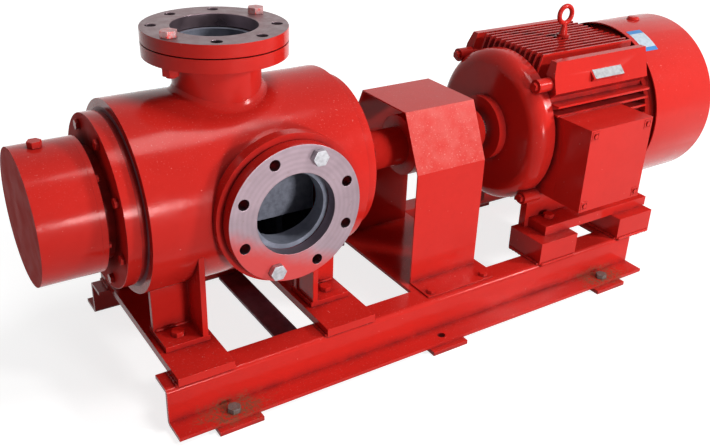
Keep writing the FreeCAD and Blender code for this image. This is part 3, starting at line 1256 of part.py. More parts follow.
def drive_end_shield():
    """Dished shield with a rounded rim, a bearing housing and four ears."""
    face_radius = "(shield_rim - shield_round)"
    round_x = "(shield_face + shield_round)"
    dish = join([
        rod(face_radius, "shield_face", "frame_start", DRIVE_AXIS),
        rod("shield_rim", round_x, "frame_start", DRIVE_AXIS),
        torus(face_radius, "shield_round", (round_x,) + DRIVE_AXIS, TURNS["x"]),
    ])
    behind = rod("shield_rim + shield_round", "frame_start", "frame_start + shield_round + past", DRIVE_AXIS)
    hollow = rod(face_radius, "shield_face + shield_wall", "frame_start + past", DRIVE_AXIS)
    housing = rod("motor_bearing_outer + shield_wall", "shield_face", FRONT_BEARING[1], DRIVE_AXIS)
    boss = rod("shield_boss", "shield_boss_start", "shield_face + past", DRIVE_AXIS)
    ears = [rod("ear_radius", "frame_start - ear_length", "frame_start", spot) for spot in EARS]
    inside = rod(face_radius, "shield_face", "frame_start", DRIVE_AXIS)
    shell = join([cut(dish, [hollow, behind]), housing, boss, cut(group(ears), [inside])])
    tools = [rod("motor_bearing_outer", FRONT_BEARING[0], FRONT_BEARING[1] + " + past", DRIVE_AXIS),
             rod("motor_journal + bolt_gap", "shield_boss_start - past", FRONT_BEARING[1], DRIVE_AXIS)]
    tools += [rod("medium_shank + bolt_gap", "frame_start - ear_length - past", "frame_start + past", spot)
              for spot in EARS]
    node("drive_end_shield", cut(shell, tools))


def fan_end_shield():
    ring_end = FRAME_END + " + ear_length / 2"
    shield_end = FRAME_END + " + fan_shield_length"
    rear = lathe([
        (FRAME_END, "frame_bore"), (FRAME_END, "fan_shield_radius"), (ring_end, "fan_shield_radius"),
        (ring_end, "fan_shield_step"), (shield_end, "motor_bearing_outer + shield_wall"),
        (shield_end, "motor_bearing_outer"), (REAR_START, "motor_bearing_outer"),
        (REAR_START, "motor_bearing_outer + shield_wall"),
        (FRAME_END + " + fan_shield_wall", "frame_bore - fan_shield_spigot"),
    ], ("0", "0", AXIS_Z))
    inside = rod("fan_shield_step", FRAME_END + " - past", FRAME_END + " + ear_length", DRIVE_AXIS)
    ears = cut(group([rod("ear_radius", FRAME_END, ring_end, spot) for spot in HOOD_EARS]), [inside])
    holes = [rod("medium_shank + bolt_gap", FRAME_END + " - past", FRAME_END + " + ear_length", spot)
             for spot in HOOD_EARS]
    node("fan_end_shield", cut(join([rear, ears]), holes))


def shields():
    drive_end_shield()
    fan_end_shield()
    front_tail = "frame_start + ear_length - tap_floor - tap_spare"
    rear_tail = FRAME_END + " - ear_length + tap_floor + tap_spare"
    bolts = [medium_bolt("frame_start - ear_length", front_tail, spot) for spot in EARS]
    bolts += [medium_bolt(FRAME_END + " + ear_length / 2", rear_tail, spot) for spot in HOOD_EARS]
    node("shield_bolts", group(bolts))


def motor_inside():
    ends = ("core_start", "core_start + core_length")
    stack = rod("frame_bore", ends[0], ends[1], DRIVE_AXIS)
    node("stator_core", cut(stack, [rod("core_bore", ends[0], ends[1], DRIVE_AXIS)]))
    heads = []
    for start, end in ((ends[0] + " - winding_length", ends[0]), (ends[1], ends[1] + " + winding_length")):
        way = rod("winding_inner", start, end, DRIVE_AXIS)
        heads.append(cut(rod("winding_outer", start, end, DRIVE_AXIS), [way]))
    node("stator_windings", group(heads))
    sizes = ("motor_journal", "motor_bearing_outer")
    outer, ball, inner = [], [], []
    for start, end in (FRONT_BEARING, REAR_BEARING):
        small, large = ring_pair(*sizes, "motor_bearing_ring", "motor_ball", start, end, DRIVE_AXIS)
        inner.append(small)
        outer.append(large)
        ball += balls(MOTOR_BALLS, *sizes, "motor_ball", start, end, DRIVE_AXIS)
    node("motor_bearings", group(outer + ball))
    node("motor_bearing_inner_rings", group(inner))
    steps = [(SHAFT_TIP, "shaft_shoulder", "extension_radius"), ("shaft_shoulder", ends[0], "motor_journal"),
             (ends[0], ends[1], "core_seat"), (ends[1], REAR_BEARING[1], "motor_journal"),
             (REAR_BEARING[1], "fan_start + fan_width", "fan_seat")]
    node("motor_shaft", join([rod(radius, start, end, DRIVE_AXIS) for start, end, radius in steps]))
    core = rod("core_bore - air_gap", ends[0], ends[1], DRIVE_AXIS)
    node("rotor_core", cut(core, [rod("core_seat", ends[0], ends[1], DRIVE_AXIS)]))
    blades = []
    for number in range(FAN_BLADES):
        blade = block(("fan_start", "fan_start + fan_width"),
                      ("-fan_plate / 2", "fan_plate / 2"), ("0", "fan_radius"))
        angle = 360 // FAN_BLADES * number
        offset_y = "-fan_plate / 2 * cos(%d)" % angle
        offset_z = AXIS_Z + " - fan_plate / 2 * sin(%d)" % angle
        place(blade, ("fan_start", offset_y, offset_z), FreeCAD.Rotation(FreeCAD.Vector(1, 0, 0), angle))
        blades.append(blade)
    plate = rod("fan_radius", "fan_start", "fan_start + fan_plate", DRIVE_AXIS)
    hub = rod("fan_hub", "fan_start", "fan_start + fan_width", DRIVE_AXIS)
    seat = rod("fan_seat", "fan_start - past", "fan_start + fan_width + past", DRIVE_AXIS)
    node("cooling_fan", cut(join(blades + [plate, hub]), [seat]))


def fan_cover():
    """Sheet hood with a rounded back edge and a slotted grille."""
    straight = FRAME_END + " + hood_length"
    end = straight + " + hood_dome"
    flat = "(hood_radius - hood_dome)"
    shell = join([rod("hood_radius", FRAME_END, straight, DRIVE_AXIS), rod(flat, straight, end, DRIVE_AXIS),
                  torus(flat, "hood_dome", (straight,) + DRIVE_AXIS, TURNS["x"])])
    hollow = join([rod("hood_radius - hood_sheet", FRAME_END + " - past", straight, DRIVE_AXIS),
                   rod(flat, straight, end + " - hood_sheet", DRIVE_AXIS),
                   torus(flat, "hood_dome - hood_sheet", (straight,) + DRIVE_AXIS, TURNS["x"])])
    depth = (end + " - 2 * hood_sheet", end + " + past")
    slots = []
    for number in range(-HOOD_SLOTS, HOOD_SLOTS + 1):
        z = AXIS_Z + " + (%d * hood_slot_pitch)" % number
        reach = "sqrt(hood_grille ^ 2 - (%d * hood_slot_pitch) ^ 2)" % number
        slots.append(block(depth, ("-" + reach, reach), (z + " - hood_slot", z + " + hood_slot")))
    spine = block(depth, ("-hood_slot", "hood_slot"), (AXIS_Z + " - hood_radius", AXIS_Z + " + hood_radius"))
    node("fan_cover", cut(shell, [hollow, cut(join(slots), [spine])]))


def eyebolt():
    top = AXIS_Z + " + fin_reach"
    seat = top + " + eyebolt_seat"
    middle = top + " + eyebolt_rise"
    spot = ("eyebolt_x", "0")
    ring = torus("eyebolt_ring", "eyebolt_wire", spot + (middle,), TURNS["y"])
    collar = rod("eyebolt_collar", top, seat, spot, "z")
    neck = cone("eyebolt_neck", "eyebolt_wire", seat, middle + " - eyebolt_ring", spot, "z")
    shank = rod("medium_shank", top + " - eyebolt_tap + tap_spare", top, spot, "z")
    node("eyebolt", join([ring, collar, neck, shank]))


def terminal_box():
    outside = block(BOX_X, (LID_Y[1], "-box_back"), BOX_Z)
    inside = block((BOX_X[0] + " + box_wall", BOX_X[1] + " - box_wall"),
                   (LID_Y[1] + " - past", "-box_back - box_wall"),
                   (BOX_Z[0] + " + box_wall", BOX_Z[1] + " - box_wall"))
    screws_at = [(x, z) for x in (BOX_X[0] + " + lid_screw_inset", BOX_X[1] + " - lid_screw_inset")
                 for z in (BOX_Z[0] + " + lid_screw_inset", BOX_Z[1] + " - lid_screw_inset")]
    posts = [rod("lid_post", LID_Y[1], "-box_back - box_wall / 2", spot, "y") for spot in screws_at]
    gland_at = ("-(box_front - lid_thickness + box_back) / 2", GLAND_Z)
    hole = rod("gland_stem", BOX_X[1] + " - 2 * box_wall", BOX_X[1] + " + past", gland_at)
    taps = [rod("lid_screw + thread_gap", LID_Y[1] + " - past", LID_Y[1] + " + lid_tap", spot, "y")
            for spot in screws_at]
    node("terminal_box", cut(join([cut(outside, [inside])] + posts), taps + [hole]))
    lid = block(BOX_X, LID_Y, BOX_Z)
    lid_holes = [rod("lid_screw + bolt_gap / 2", LID_Y[0] + " - past", LID_Y[1] + " + past", spot, "y")
                 for spot in screws_at]
    node("terminal_lid", cut(lid, lid_holes))
    tail = LID_Y[1] + " + lid_tap - tap_spare"
    node("lid_screws", group([bolt("lid_screw", "lid_screw_flats", "lid_screw_head", LID_Y[0], tail, spot, "y")
                              for spot in screws_at]))
    nut = hexagon("2 * gland_radius", BOX_X[1], BOX_X[1] + " + gland_nut", gland_at)
    dome = rod("gland_cap", BOX_X[1], BOX_X[1] + " + gland_length", gland_at)
    stem = rod("gland_stem", BOX_X[1] + " - box_wall", BOX_X[1], gland_at)
    way = rod("gland_hole", BOX_X[1] + " - box_wall - past", BOX_X[1] + " + gland_length + past", gland_at)
    node("cable_gland", cut(join([nut, dome, stem]), [way]))


base_frame()
pump_casing()
pump_feet()
screw_liner()
end_cover("gear_end_cover", GEAR_COVER_FACE, left)
end_cover("drive_end_cover", DRIVE_COVER_FACE, right)
cover_bolts()
gear_end_housing()
gear_cover()
drive_end_housing()
pipe_flanges()
rotors()
pump_bearings()
seals()
coupling()
coupling_guard()
motor_frame()
shields()
motor_inside()
fan_cover()
eyebolt()
terminal_box()
doc.recompute()

failed = [item.Name for item in doc.Objects if {"Invalid", "Error"} & set(item.State)]
failed += [item.Label for item in NODES if item.Shape.isNull() or not item.Shape.isValid()]
if failed:
    raise SystemExit("Failed objects: " + ", ".join(failed))

os.makedirs("parts", exist_ok=True)
for item in NODES:
    item.Shape.exportStep(os.path.join("parts", item.Label + ".step"))
    solids = item.Shape.Solids
    print("%-28s %3d solids  %12.0f mm3" % (item.Label, len(solids), sum(solid.Volume for solid in solids)))
print(len(NODES), "nodes")
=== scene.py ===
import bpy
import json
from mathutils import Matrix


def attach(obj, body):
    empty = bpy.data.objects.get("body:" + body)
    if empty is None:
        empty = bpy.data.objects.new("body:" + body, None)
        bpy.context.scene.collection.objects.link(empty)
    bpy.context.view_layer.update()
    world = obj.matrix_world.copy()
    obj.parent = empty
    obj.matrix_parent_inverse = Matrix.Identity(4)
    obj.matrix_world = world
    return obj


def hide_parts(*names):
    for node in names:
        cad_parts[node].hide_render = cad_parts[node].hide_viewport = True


bl_info = {
    "name": "Twin Screw Pump Set",
    "version": (1, 0, 0),
    "blender": (4, 5, 0),
    "location": "View3D > Sidebar > Pump Set",
    "description": "Paints and details a twin screw pump set over its CAD frame",
    "category": "Object",
}

import json
from math import cos, hypot, pi, radians, sin, sqrt

import bpy
from mathutils import Matrix, Vector

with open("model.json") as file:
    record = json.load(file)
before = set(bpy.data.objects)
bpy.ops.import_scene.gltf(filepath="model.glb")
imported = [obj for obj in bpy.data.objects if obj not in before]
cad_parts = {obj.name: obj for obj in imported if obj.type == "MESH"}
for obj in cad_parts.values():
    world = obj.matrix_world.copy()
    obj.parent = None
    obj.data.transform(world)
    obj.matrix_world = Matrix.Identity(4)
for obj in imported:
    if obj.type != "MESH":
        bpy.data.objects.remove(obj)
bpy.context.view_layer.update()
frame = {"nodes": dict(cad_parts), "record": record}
NODES = frame["nodes"]

# Places and sizes of the frame, in metres

SHAFT_Z = 0.375

# Middle of the casing, and of the outer face of each companion flange
CASING = Vector((-0.3745, 0.042, SHAFT_Z))
CASING_RADIUS = 0.195
SUCTION = Vector((-0.334, -0.194, SHAFT_Z))
DISCHARGE = Vector((-0.3833, 0.042, 0.691))
FLANGE_RADIUS = 0.1425

# Outside of the necks, and how far out their fillets may reach
SUCTION_NECK = 0.100
DISCHARGE_NECK = 0.088
SUCTION_FLANGE_BACK = 0.178
DISCHARGE_FLANGE_BACK = 0.66

# Fan cover, nameplate, sticker and terminal lid
HOOD_RADIUS = 0.208
HOOD_START = 0.669
NAMEPLATE = Vector((0.515, -0.15698, 0.53198))
NAMEPLATE_TILT = 45
STICKER_BLUE_TOP = 0.070
STICKER_BLUE_LOW = 0.114
LID_Y = -0.28
LID_SCREWS = [(x, z) for x in (0.371, 0.540) for z in (0.261, 0.432)]

# Foundation bolt of one corner, and the height under which the cross bars are bare
FOUNDATION_BOLT = Vector((0.508, 0.256, 0.02))
BARE_BELOW = 0.05

# Where the welds lie
RAIL_WEB = 0.2272
RAIL_TOP = 0.0935
FOOT_PLATE_TOP = 0.1235
WELD_OUTER = 0.224
SUPPORT_INNER = 0.120
SUPPORT_ENDS = ((0.3115, 0.4295), (0.5785, 0.6965))
PAD_INNER = 0.172
PAD_ENDS = (-0.606, -0.489, -0.280, -0.163)
PUMP_FOOT_X = (-0.5475, -0.2215)
PUMP_FOOT_HALF = 0.043
PUMP_RIB_Y = (-0.074, 0.158)
WELD_END = 0.004


def weld_runs():
    """Start and end of each weld, by the piece that it holds."""
    supports, pads, feet = [], [], []
    for side in (-1, 1):
        outer, web = side * WELD_OUTER, side * RAIL_WEB
        for x in (*SUPPORT_ENDS[0], *SUPPORT_ENDS[1]):
            supports.append(((x, side * SUPPORT_INNER, RAIL_TOP), (x, outer, RAIL_TOP)))
        for start, end in SUPPORT_ENDS:
            supports.append(((start + WELD_END, web, RAIL_TOP), (end - WELD_END, web, RAIL_TOP)))
        for x in PAD_ENDS:
            pads.append(((x, side * PAD_INNER, RAIL_TOP), (x, outer, RAIL_TOP)))
    for x in PUMP_FOOT_X:
        start, end = x - PUMP_FOOT_HALF, x + PUMP_FOOT_HALF
        for rib in PUMP_RIB_Y:
            feet.append(((start, rib, FOOT_PLATE_TOP), (end, rib, FOOT_PLATE_TOP)))
    return {"support_welds": supports, "pad_welds": pads, "foot_welds": feet}


WELDS = weld_runs()


# Picking

def pick(*items):
    """Leaves only these objects selected, the first one active."""
    for other in bpy.context.selected_objects:
        other.select_set(False)
    for item in items:
        item.select_set(True)
    if items:
        bpy.context.view_layer.objects.active = items[0]


def edit(item):
    """Opens a piece in edit mode with all of it selected."""
    pick(item)
    bpy.ops.object.mode_set(mode="EDIT")
    bpy.ops.mesh.select_all(action="SELECT")


def done():
    bpy.ops.object.mode_set(mode="OBJECT")


def modify(item, kind, **settings):
    """Adds a modifier, sets it and applies it."""
    pick(item)
    modifier = item.modifiers.new(kind.title(), kind)
    for name, setting in settings.items():
        setattr(modifier, name, setting)
    bpy.ops.object.modifier_apply(modifier=modifier.name)


def smooth(item, angle=35):
    pick(item)
    bpy.ops.object.shade_smooth_by_angle(angle=radians(angle))


def round_edges(item, width, segments=2, angle=30):
    modify(
        item,
        "BEVEL",
        width=width,
        segments=segments,
        limit_method="ANGLE",
        angle_limit=radians(angle),
        use_clamp_overlap=True,
        miter_outer="MITER_ARC",
        harden_normals=True,
    )


def turn_outward(item, outward):
    """Flips a thin piece whose faces look inward by this sum."""
    if outward < 0:
        edit(item)
        bpy.ops.mesh.flip_normals()
        done()


def paint_faces(item, finishes, choose):
    """Gives a piece several finishes: choose says which of them a face takes."""
    item.data.materials.clear()
    for finish in finishes:
        item.data.materials.append(FINISHES[finish])
    for face in item.data.polygons:
        face.material_index = choose(face)


def finish_piece(item, finish=None, body="pump_set", replaced=()):
    """Gives a piece the body that it rides on, and one finish unless it has its own."""
    if finish is not None:
        item.data.materials.clear()
        item.data.materials.append(FINISHES[finish])
    if replaced:
        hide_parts(*replaced)
    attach(item, body)
    return item


# Shapes

def from_node(node, name, edge=0.0, segments=2, angle=30, dissolve=1.0):
    """A copy of a CAD node's mesh, merged, with its edges rounded."""
    item = bpy.data.objects.new(name, NODES[node].data.copy())
    bpy.context.scene.collection.objects.link(item)
    pick(item)
    bpy.ops.mesh.customdata_custom_splitnormals_clear()
    edit(item)
    bpy.ops.mesh.remove_doubles(threshold=0.00001)
    bpy.ops.mesh.dissolve_limited(angle_limit=radians(dissolve))
    done()
    smooth(item, angle)
    if edge:
        round_edges(item, edge, segments, angle)
    return item


def turned(name, profile, place, along, sides=64, closed=False):
    """A turned piece: a circle drawn out ring by ring along its axis."""
    pick()
    height, radius = profile[0]
    bpy.ops.mesh.primitive_circle_add(vertices=sides, radius=radius, location=(0, 0, height))
    item = bpy.context.object
    item.name = name
    bpy.ops.object.transform_apply(location=True)
    edit(item)
    for next_height, next_radius in profile[1:]:
        bpy.ops.mesh.extrude_region_move(
            TRANSFORM_OT_translate={"value": (0, 0, next_height - height)}
        )
        if next_radius != radius:
            scale = next_radius / radius
            bpy.ops.transform.resize(
                value=(scale, scale, 1), center_override=(0, 0, next_height)
            )
        height, radius = next_height, next_radius
    bpy.ops.mesh.select_all(action="SELECT")
    if closed:
        bpy.ops.mesh.remove_doubles(threshold=0.000001)
    else:
        bpy.ops.mesh.fill_holes(sides=0)
    bpy.ops.mesh.normals_make_consistent(inside=False)
    done()
    item.rotation_mode = "QUATERNION"
    item.rotation_quaternion = Vector(along).to_track_quat("Z", "Y")
    item.location = place
    pick(item)
    bpy.ops.object.transform_apply(location=True, rotation=True)
    return item


def joined(name, items):
    """Several pieces made one."""
    pick(*items)
    bpy.ops.object.join()
    items[0].name = name
    return items[0]


def weld_bead(start, end, radius):
    """One run of weld with its ripples, laid from start to end."""
    start, end = Vector(start), Vector(end)
    length = (end - start).length
    steps = max(4, int(length / 0.0035))
    profile = [(0.0, radius * 0.45)]
    for step in range(steps):
        swell = 1 + 0.16 * sin(step * 2.1) + 0.07 * sin(step * 0.73)
        profile.append((length * (step + 0.5) / steps, radius * swell))
    profile.append((length, radius * 0.45))
    bead = turned("bead", profile, start, end - start, sides=8)
    smooth(bead, 60)
    return bead


def neck_skirt(name, centre, direction, neck, spread, limit, rings=8, overlap=0.004):
    """The cast fillet where a neck grows out of the casing, held back behind the neck's flange.

    Rings round the neck are projected on the casing's barrel, then lifted along a quarter
    circle. The innermost ring stands inside the neck by the overlap.
    """
    pick()
    bpy.ops.mesh.primitive_cylinder_add(
        vertices=360, radius=CASING_RADIUS, depth=0.6, location=CASING, rotation=(0, pi / 2, 0)
    )
    barrel = bpy.context.object
    bpy.ops.object.transform_apply(location=True, rotation=True)
    centre, direction = Vector(centre), Vector(direction)
    radii = [neck - overlap + (spread + overlap) * step / rings for step in range(rings + 1)]
    pick()
    bpy.ops.mesh.primitive_circle_add(vertices=96, radius=radii[0], location=(0, 0, 0))
    item = bpy.context.object
    item.name = name
    edit(item)
    for inner, outer in zip(radii, radii[1:]):
        bpy.ops.mesh.extrude_region_move()
        scale = outer / inner
        bpy.ops.transform.resize(value=(scale, scale, 1), center_override=(0, 0, 0))
    done()
    item.rotation_mode = "QUATERNION"
    item.rotation_quaternion = direction.to_track_quat("Z", "Y")
    item.location = centre
    pick(item)
    bpy.ops.object.transform_apply(location=True, rotation=True)
    vertical = abs(direction.z) > 0.5
    modify(
        item,
        "SHRINKWRAP",
        wrap_method="PROJECT",
        use_project_x=False,
        use_project_y=not vertical,
        use_project_z=vertical,
        use_positive_direction=True,
        use_negative_direction=True,
        target=barrel,
    )
    for vertex in item.data.vertices:
        offset = vertex.co - centre
        radius = (offset - direction * offset.dot(direction)).length
        share = min(1.0, max(0.0, (neck + spread - radius) / spread))
        lift = spread * (1 - sqrt(max(0.0, 1 - share * share))) - 0.0004
        vertex.co += direction * min(lift, limit - vertex.co.dot(direction))
    bpy.data.objects.remove(barrel)
    edit(item)
    bpy.ops.mesh.normals_make_consistent(inside=False)
    done()
    turn_outward(item, sum(face.normal.dot(direction) for face in item.data.polygons))
    modify(item, "SOLIDIFY", thickness=0.004, offset=-1)
    smooth(item, 60)
    return item


def moved(item, matrix):
    """Moves a piece's mesh, so that its object stays at the origin."""
    item.data.transform(matrix)
    return item


def nameplate(length=0.095, width=0.040, thickness=0.0009, inset=0.0055):
    """Bare plate with a raised rim and a rivet in each corner, on its pad beside the fins."""
    pick()
    bpy.ops.mesh.primitive_plane_add(size=1, location=(0, 0, 0))
    item = bpy.context.object
    item.scale = (length, width, 1)
    bpy.ops.object.transform_apply(scale=True)
    edit(item)
    bpy.ops.mesh.bevel(offset=0.003, segments=3, affect="VERTICES")
    bpy.ops.mesh.extrude_region_move(TRANSFORM_OT_translate={"value": (0, 0, thickness)})
    bpy.ops.mesh.inset(thickness=0.0012)
    bpy.ops.mesh.inset(thickness=0.0004)
    bpy.ops.transform.translate(value=(0, 0, -0.0004))
    bpy.ops.mesh.select_all(action="SELECT")
    bpy.ops.mesh.fill_holes(sides=0)
    bpy.ops.mesh.normals_make_consistent(inside=False)
    done()
    dome = [(0.0, 0.0021), (0.0007, 0.0021), (0.0013, 0.0016), (0.0016, 0.0008)]
    far, high = length / 2 - inset, width / 2 - inset
    rivets = [
        turned("rivet", dome, (x, y, 0.0005), (0, 0, 1), 16)
        for x in (-far, far) for y in (-high, high)
    ]
    plate = joined("bare_nameplate", [item, *rivets])
    smooth(plate)
    tilt = Matrix.Rotation(radians(NAMEPLATE_TILT), 4, "X")
    return moved(plate, Matrix.Translation(NAMEPLATE) @ tilt)


def sticker(start=0.680, end=0.730, top=16.0, low=36.5):
    """Thin sheet wrapped round the fan cover: a line spun from the top angle to the low one."""
    radius = HOOD_RADIUS + 0.0001
    pick()
    bpy.ops.mesh.primitive_plane_add(size=end - start, location=(0, 0, 0))
    item = bpy.context.object
    item.name = "blank_sticker"
    edit(item)
    bpy.ops.mesh.select_all(action="DESELECT")
    done()
    for vertex in item.data.vertices:
        vertex.select = vertex.co.y > 0
    bpy.ops.object.mode_set(mode="EDIT")
    bpy.ops.mesh.delete(type="VERT")
    done()
    middle = Matrix.Translation((0, 0, SHAFT_Z))
    seat = Matrix.Translation(((start + end) / 2, (end - start) / 2, radius))
    moved(item, middle @ Matrix.Rotation(radians(top), 4, "X") @ seat)
    edit(item)
    bpy.ops.mesh.spin(steps=16, angle=radians(low - top), center=(0, 0, SHAFT_Z), axis=(-1, 0, 0))
    done()
    turn_outward(item, sum(
        face.normal.dot(face.center - Vector((face.center.x, 0, SHAFT_Z)))
        for face in item.data.polygons
    ))
    modify(item, "SOLIDIFY", thickness=0.0003, offset=1)
    smooth(item, 40)
    return item


def fan_end_shoulder():
    """Raised ring round the fan-end shield, in front of the fan cover."""
    ring = [
        (0.0, 0.178), (0.0, 0.184), (0.004, 0.190), (0.018, 0.196), (0.024, 0.196),
        (0.028, 0.190), (0.028, 0.178), (0.0, 0.178),
    ]
    item = turned("fan_end_shoulder", ring, (HOOD_START, 0, SHAFT_Z), (1, 0, 0), 120, closed=True)
    smooth(item)
    return item


def cover_boss():
    """Low round boss on top of the fan cover."""
    profile = [
        (-0.005, 0.0168), (0.0012, 0.0165), (0.0030, 0.0150), (0.0055, 0.0142),
        (0.0068, 0.0128), (0.0072, 0.0100),
    ]
    item = turned("cover_boss", profile, (0.775, 0.005, SHAFT_Z + HOOD_RADIUS), (0, 0, 1), 40)
    smooth(item)
    return item


def lid_lug(size=0.022, rim=0.0035, height=0.0011):
    """Square rim round a screw of the terminal box's lid, facing -Y."""
    pick()
    bpy.ops.mesh.primitive_plane_add(size=size, location=(0, 0, 0))
    item = bpy.context.object
    edit(item)
    bpy.ops.mesh.inset(thickness=rim)
    bpy.ops.mesh.delete(type="FACE")
    done()
    modify(item, "SOLIDIFY", thickness=height, offset=1)
    round_edges(item, 0.0005)
    return moved(item, Matrix.Rotation(radians(90), 4, "X"))


def lid_lugs():
    """One lug round each screw of the lid: the first is modelled and the others are its copies."""
    lugs = [lid_lug()]
    for _ in LID_SCREWS[1:]:
        copy = lugs[0].copy()
        copy.data = lugs[0].data.copy()
        bpy.context.scene.collection.objects.link(copy)
        lugs.append(copy)
    for number, (lug, (x, z)) in enumerate(zip(lugs, LID_SCREWS), 1):
        lug.name = "lid_lug_%d" % number
        moved(lug, Matrix.Translation((x, LID_Y, z)))
    return lugs


# Finishes

class Finish:
    """A material under construction: nodes are added from left to right."""

    def __init__(self, name, roughness=0.5, metallic=0.0, specular=0.5):
        self.material = bpy.data.materials.new(name)
        self.material.use_nodes = True
        self.tree = self.material.node_tree
        self.shader = self.tree.nodes["Principled BSDF"]
        self.shader.inputs["Roughness"].default_value = roughness
        self.shader.inputs["Metallic"].default_value = metallic
        self.shader.inputs["Specular IOR Level"].default_value = specular
        self.place = self.add("ShaderNodeTexCoord").outputs["Object"]

    def add(self, kind, **settings):
        node = self.tree.nodes.new(kind)
        for name, setting in settings.items():
            setattr(node, name, setting)
        return node

    def wire(self, source, target):
        """Sets a socket to a number or a colour, or links it to an output."""
        if isinstance(source, (int, float)):
            target.default_value = source
        elif isinstance(source, (tuple, list)):
            target.default_value = (*source, 1.0)[: len(target.default_value)]
        else:
            self.tree.links.new(source, target)

    def noise(self, scale, detail=4.0, rough=0.5):
        node = self.add("ShaderNodeTexNoise")
        node.inputs["Scale"].default_value = scale
        node.inputs["Detail"].default_value = detail
        node.inputs["Roughness"].default_value = rough
        self.wire(self.place, node.inputs["Vector"])
        return node.outputs["Fac"]

    def band(self, value, low, high, out_low=0.0, out_high=1.0):
        """A soft step: one output below the low value, the other above the high one."""
        node = self.add("ShaderNodeMapRange", interpolation_type="SMOOTHSTEP")
        for name, number in (
            ("From Min", low),
            ("From Max", high),
            ("To Min", out_low),
            ("To Max", out_high),
        ):
            node.inputs[name].default_value = number
        self.wire(value, node.inputs["Value"])
        return node.outputs["Result"]

    def math(self, operation, first, second=0.0):
        node = self.add("ShaderNodeMath", operation=operation)
        self.wire(first, node.inputs[0])
        self.wire(second, node.inputs[1])
        return node.outputs[0]

    def blend(self, factor, first, second):
        """The first colour at a factor of 0, the second at 1."""
        node = self.add("ShaderNodeMix", data_type="RGBA")
        self.wire(factor, node.inputs["Factor"])
        self.wire(first, node.inputs["A"])
        self.wire(second, node.inputs["B"])
        return node.outputs["Result"]

    def axes(self):
        node = self.add("ShaderNodeSeparateXYZ")
        self.wire(self.place, node.inputs[0])
        return node.outputs

    def normal_axes(self):
        node = self.add("ShaderNodeSeparateXYZ")
        self.wire(self.add("ShaderNodeNewGeometry").outputs["Normal"], node.inputs[0])
        return node.outputs

    def colour(self, source):
        self.wire(source, self.shader.inputs["Base Color"])

    def roughness(self, source):
        self.wire(source, self.shader.inputs["Roughness"])

    def bumps(self, *heights):
        """Each height is (value, strength, distance in metres)."""
        normal = None
        for value, strength, distance in heights:
            node = self.add("ShaderNodeBump")
            node.inputs["Strength"].default_value = strength
            node.inputs["Distance"].default_value = distance
            self.wire(value, node.inputs["Height"])
            if normal is not None:
                self.wire(normal, node.inputs["Normal"])
            normal = node.outputs["Normal"]
        self.wire(normal, self.shader.inputs["Normal"])

    def crevice(self, reach):
        """1 in tight corners, 0 in the open: the mask of the painted shade in corners."""
        node = self.add("ShaderNodeAmbientOcclusion", samples=6)
        node.inputs["Distance"].default_value = reach
        return self.band(node.outputs["AO"], 0.35, 0.95, 1.0, 0.0)


FINISHES = {}


def tone(colour, share):
    """The same colour, darker."""
    return tuple(channel * share for channel in colour[:3])


def from_axis(finish, centre, axes):
    """How far a shaded point is from the line through the centre along the third axis.

    Returns that distance and the offsets along the two axes.
    """
    outputs = finish.axes()
    offsets = [finish.math("SUBTRACT", outputs[axis], getattr(centre, axis.lower())) for axis in axes]
    squares = [finish.math("MULTIPLY", offset, offset) for offset in offsets]
    return finish.math("SQRT", finish.math("ADD", *squares)), offsets


def casing_inside(finish):
    """1 on the inside of the casing and of its nozzles, 0 outside."""
    outputs = finish.axes()
    bore, outside = 0.0850, 0.0856
    suction = finish.math(
        "MULTIPLY",
        finish.band(from_axis(finish, SUCTION, "XZ")[0], bore, outside, 1.0, 0.0),
        finish.band(outputs["Y"], -0.11, -0.10, 1.0, 0.0),
    )
    discharge = finish.math(
        "MULTIPLY",
        finish.band(from_axis(finish, DISCHARGE, "XY")[0], bore, outside, 1.0, 0.0),
        finish.band(outputs["Z"], 0.45, 0.46),
    )
    barrel = from_axis(finish, CASING, "YZ")[0]
    along = finish.math("ABSOLUTE", finish.math("SUBTRACT", outputs["X"], CASING.x))
    hollow = finish.math(
        "MULTIPLY",
        finish.band(barrel, 0.1785, 0.1795, 1.0, 0.0),
        finish.band(along, 0.2320, 0.2330, 1.0, 0.0),
    )
    return finish.math("MAXIMUM", hollow, finish.math("MAXIMUM", suction, discharge))


def rust_stain(finish):
    """Rust that runs out from the foundation bolts over the lower flange."""
    squares = []
    outputs = finish.axes()
    for axis, centre, stretch in zip("XYZ", FOUNDATION_BOLT, (0.6, 1.1, 2.4)):
        offset = finish.math("SUBTRACT", finish.math("ABSOLUTE", outputs[axis]), centre)
        offset = finish.math("MULTIPLY", offset, stretch)
        squares.append(finish.math("MULTIPLY", offset, offset))
    reach = finish.math("ADD", finish.math("ADD", squares[0], squares[1]), squares[2])
    wander = finish.math("MULTIPLY", finish.math("SUBTRACT", finish.noise(46, 6, 0.7), 0.5), 0.10)
    reach = finish.math("ADD", finish.math("SQRT", reach), wander)
    stain = finish.band(reach, 0.015, 0.055, 0.85, 0.0)
    return finish.math("MULTIPLY", stain, finish.band(finish.noise(160, 4, 0.7), 0.38, 0.56))


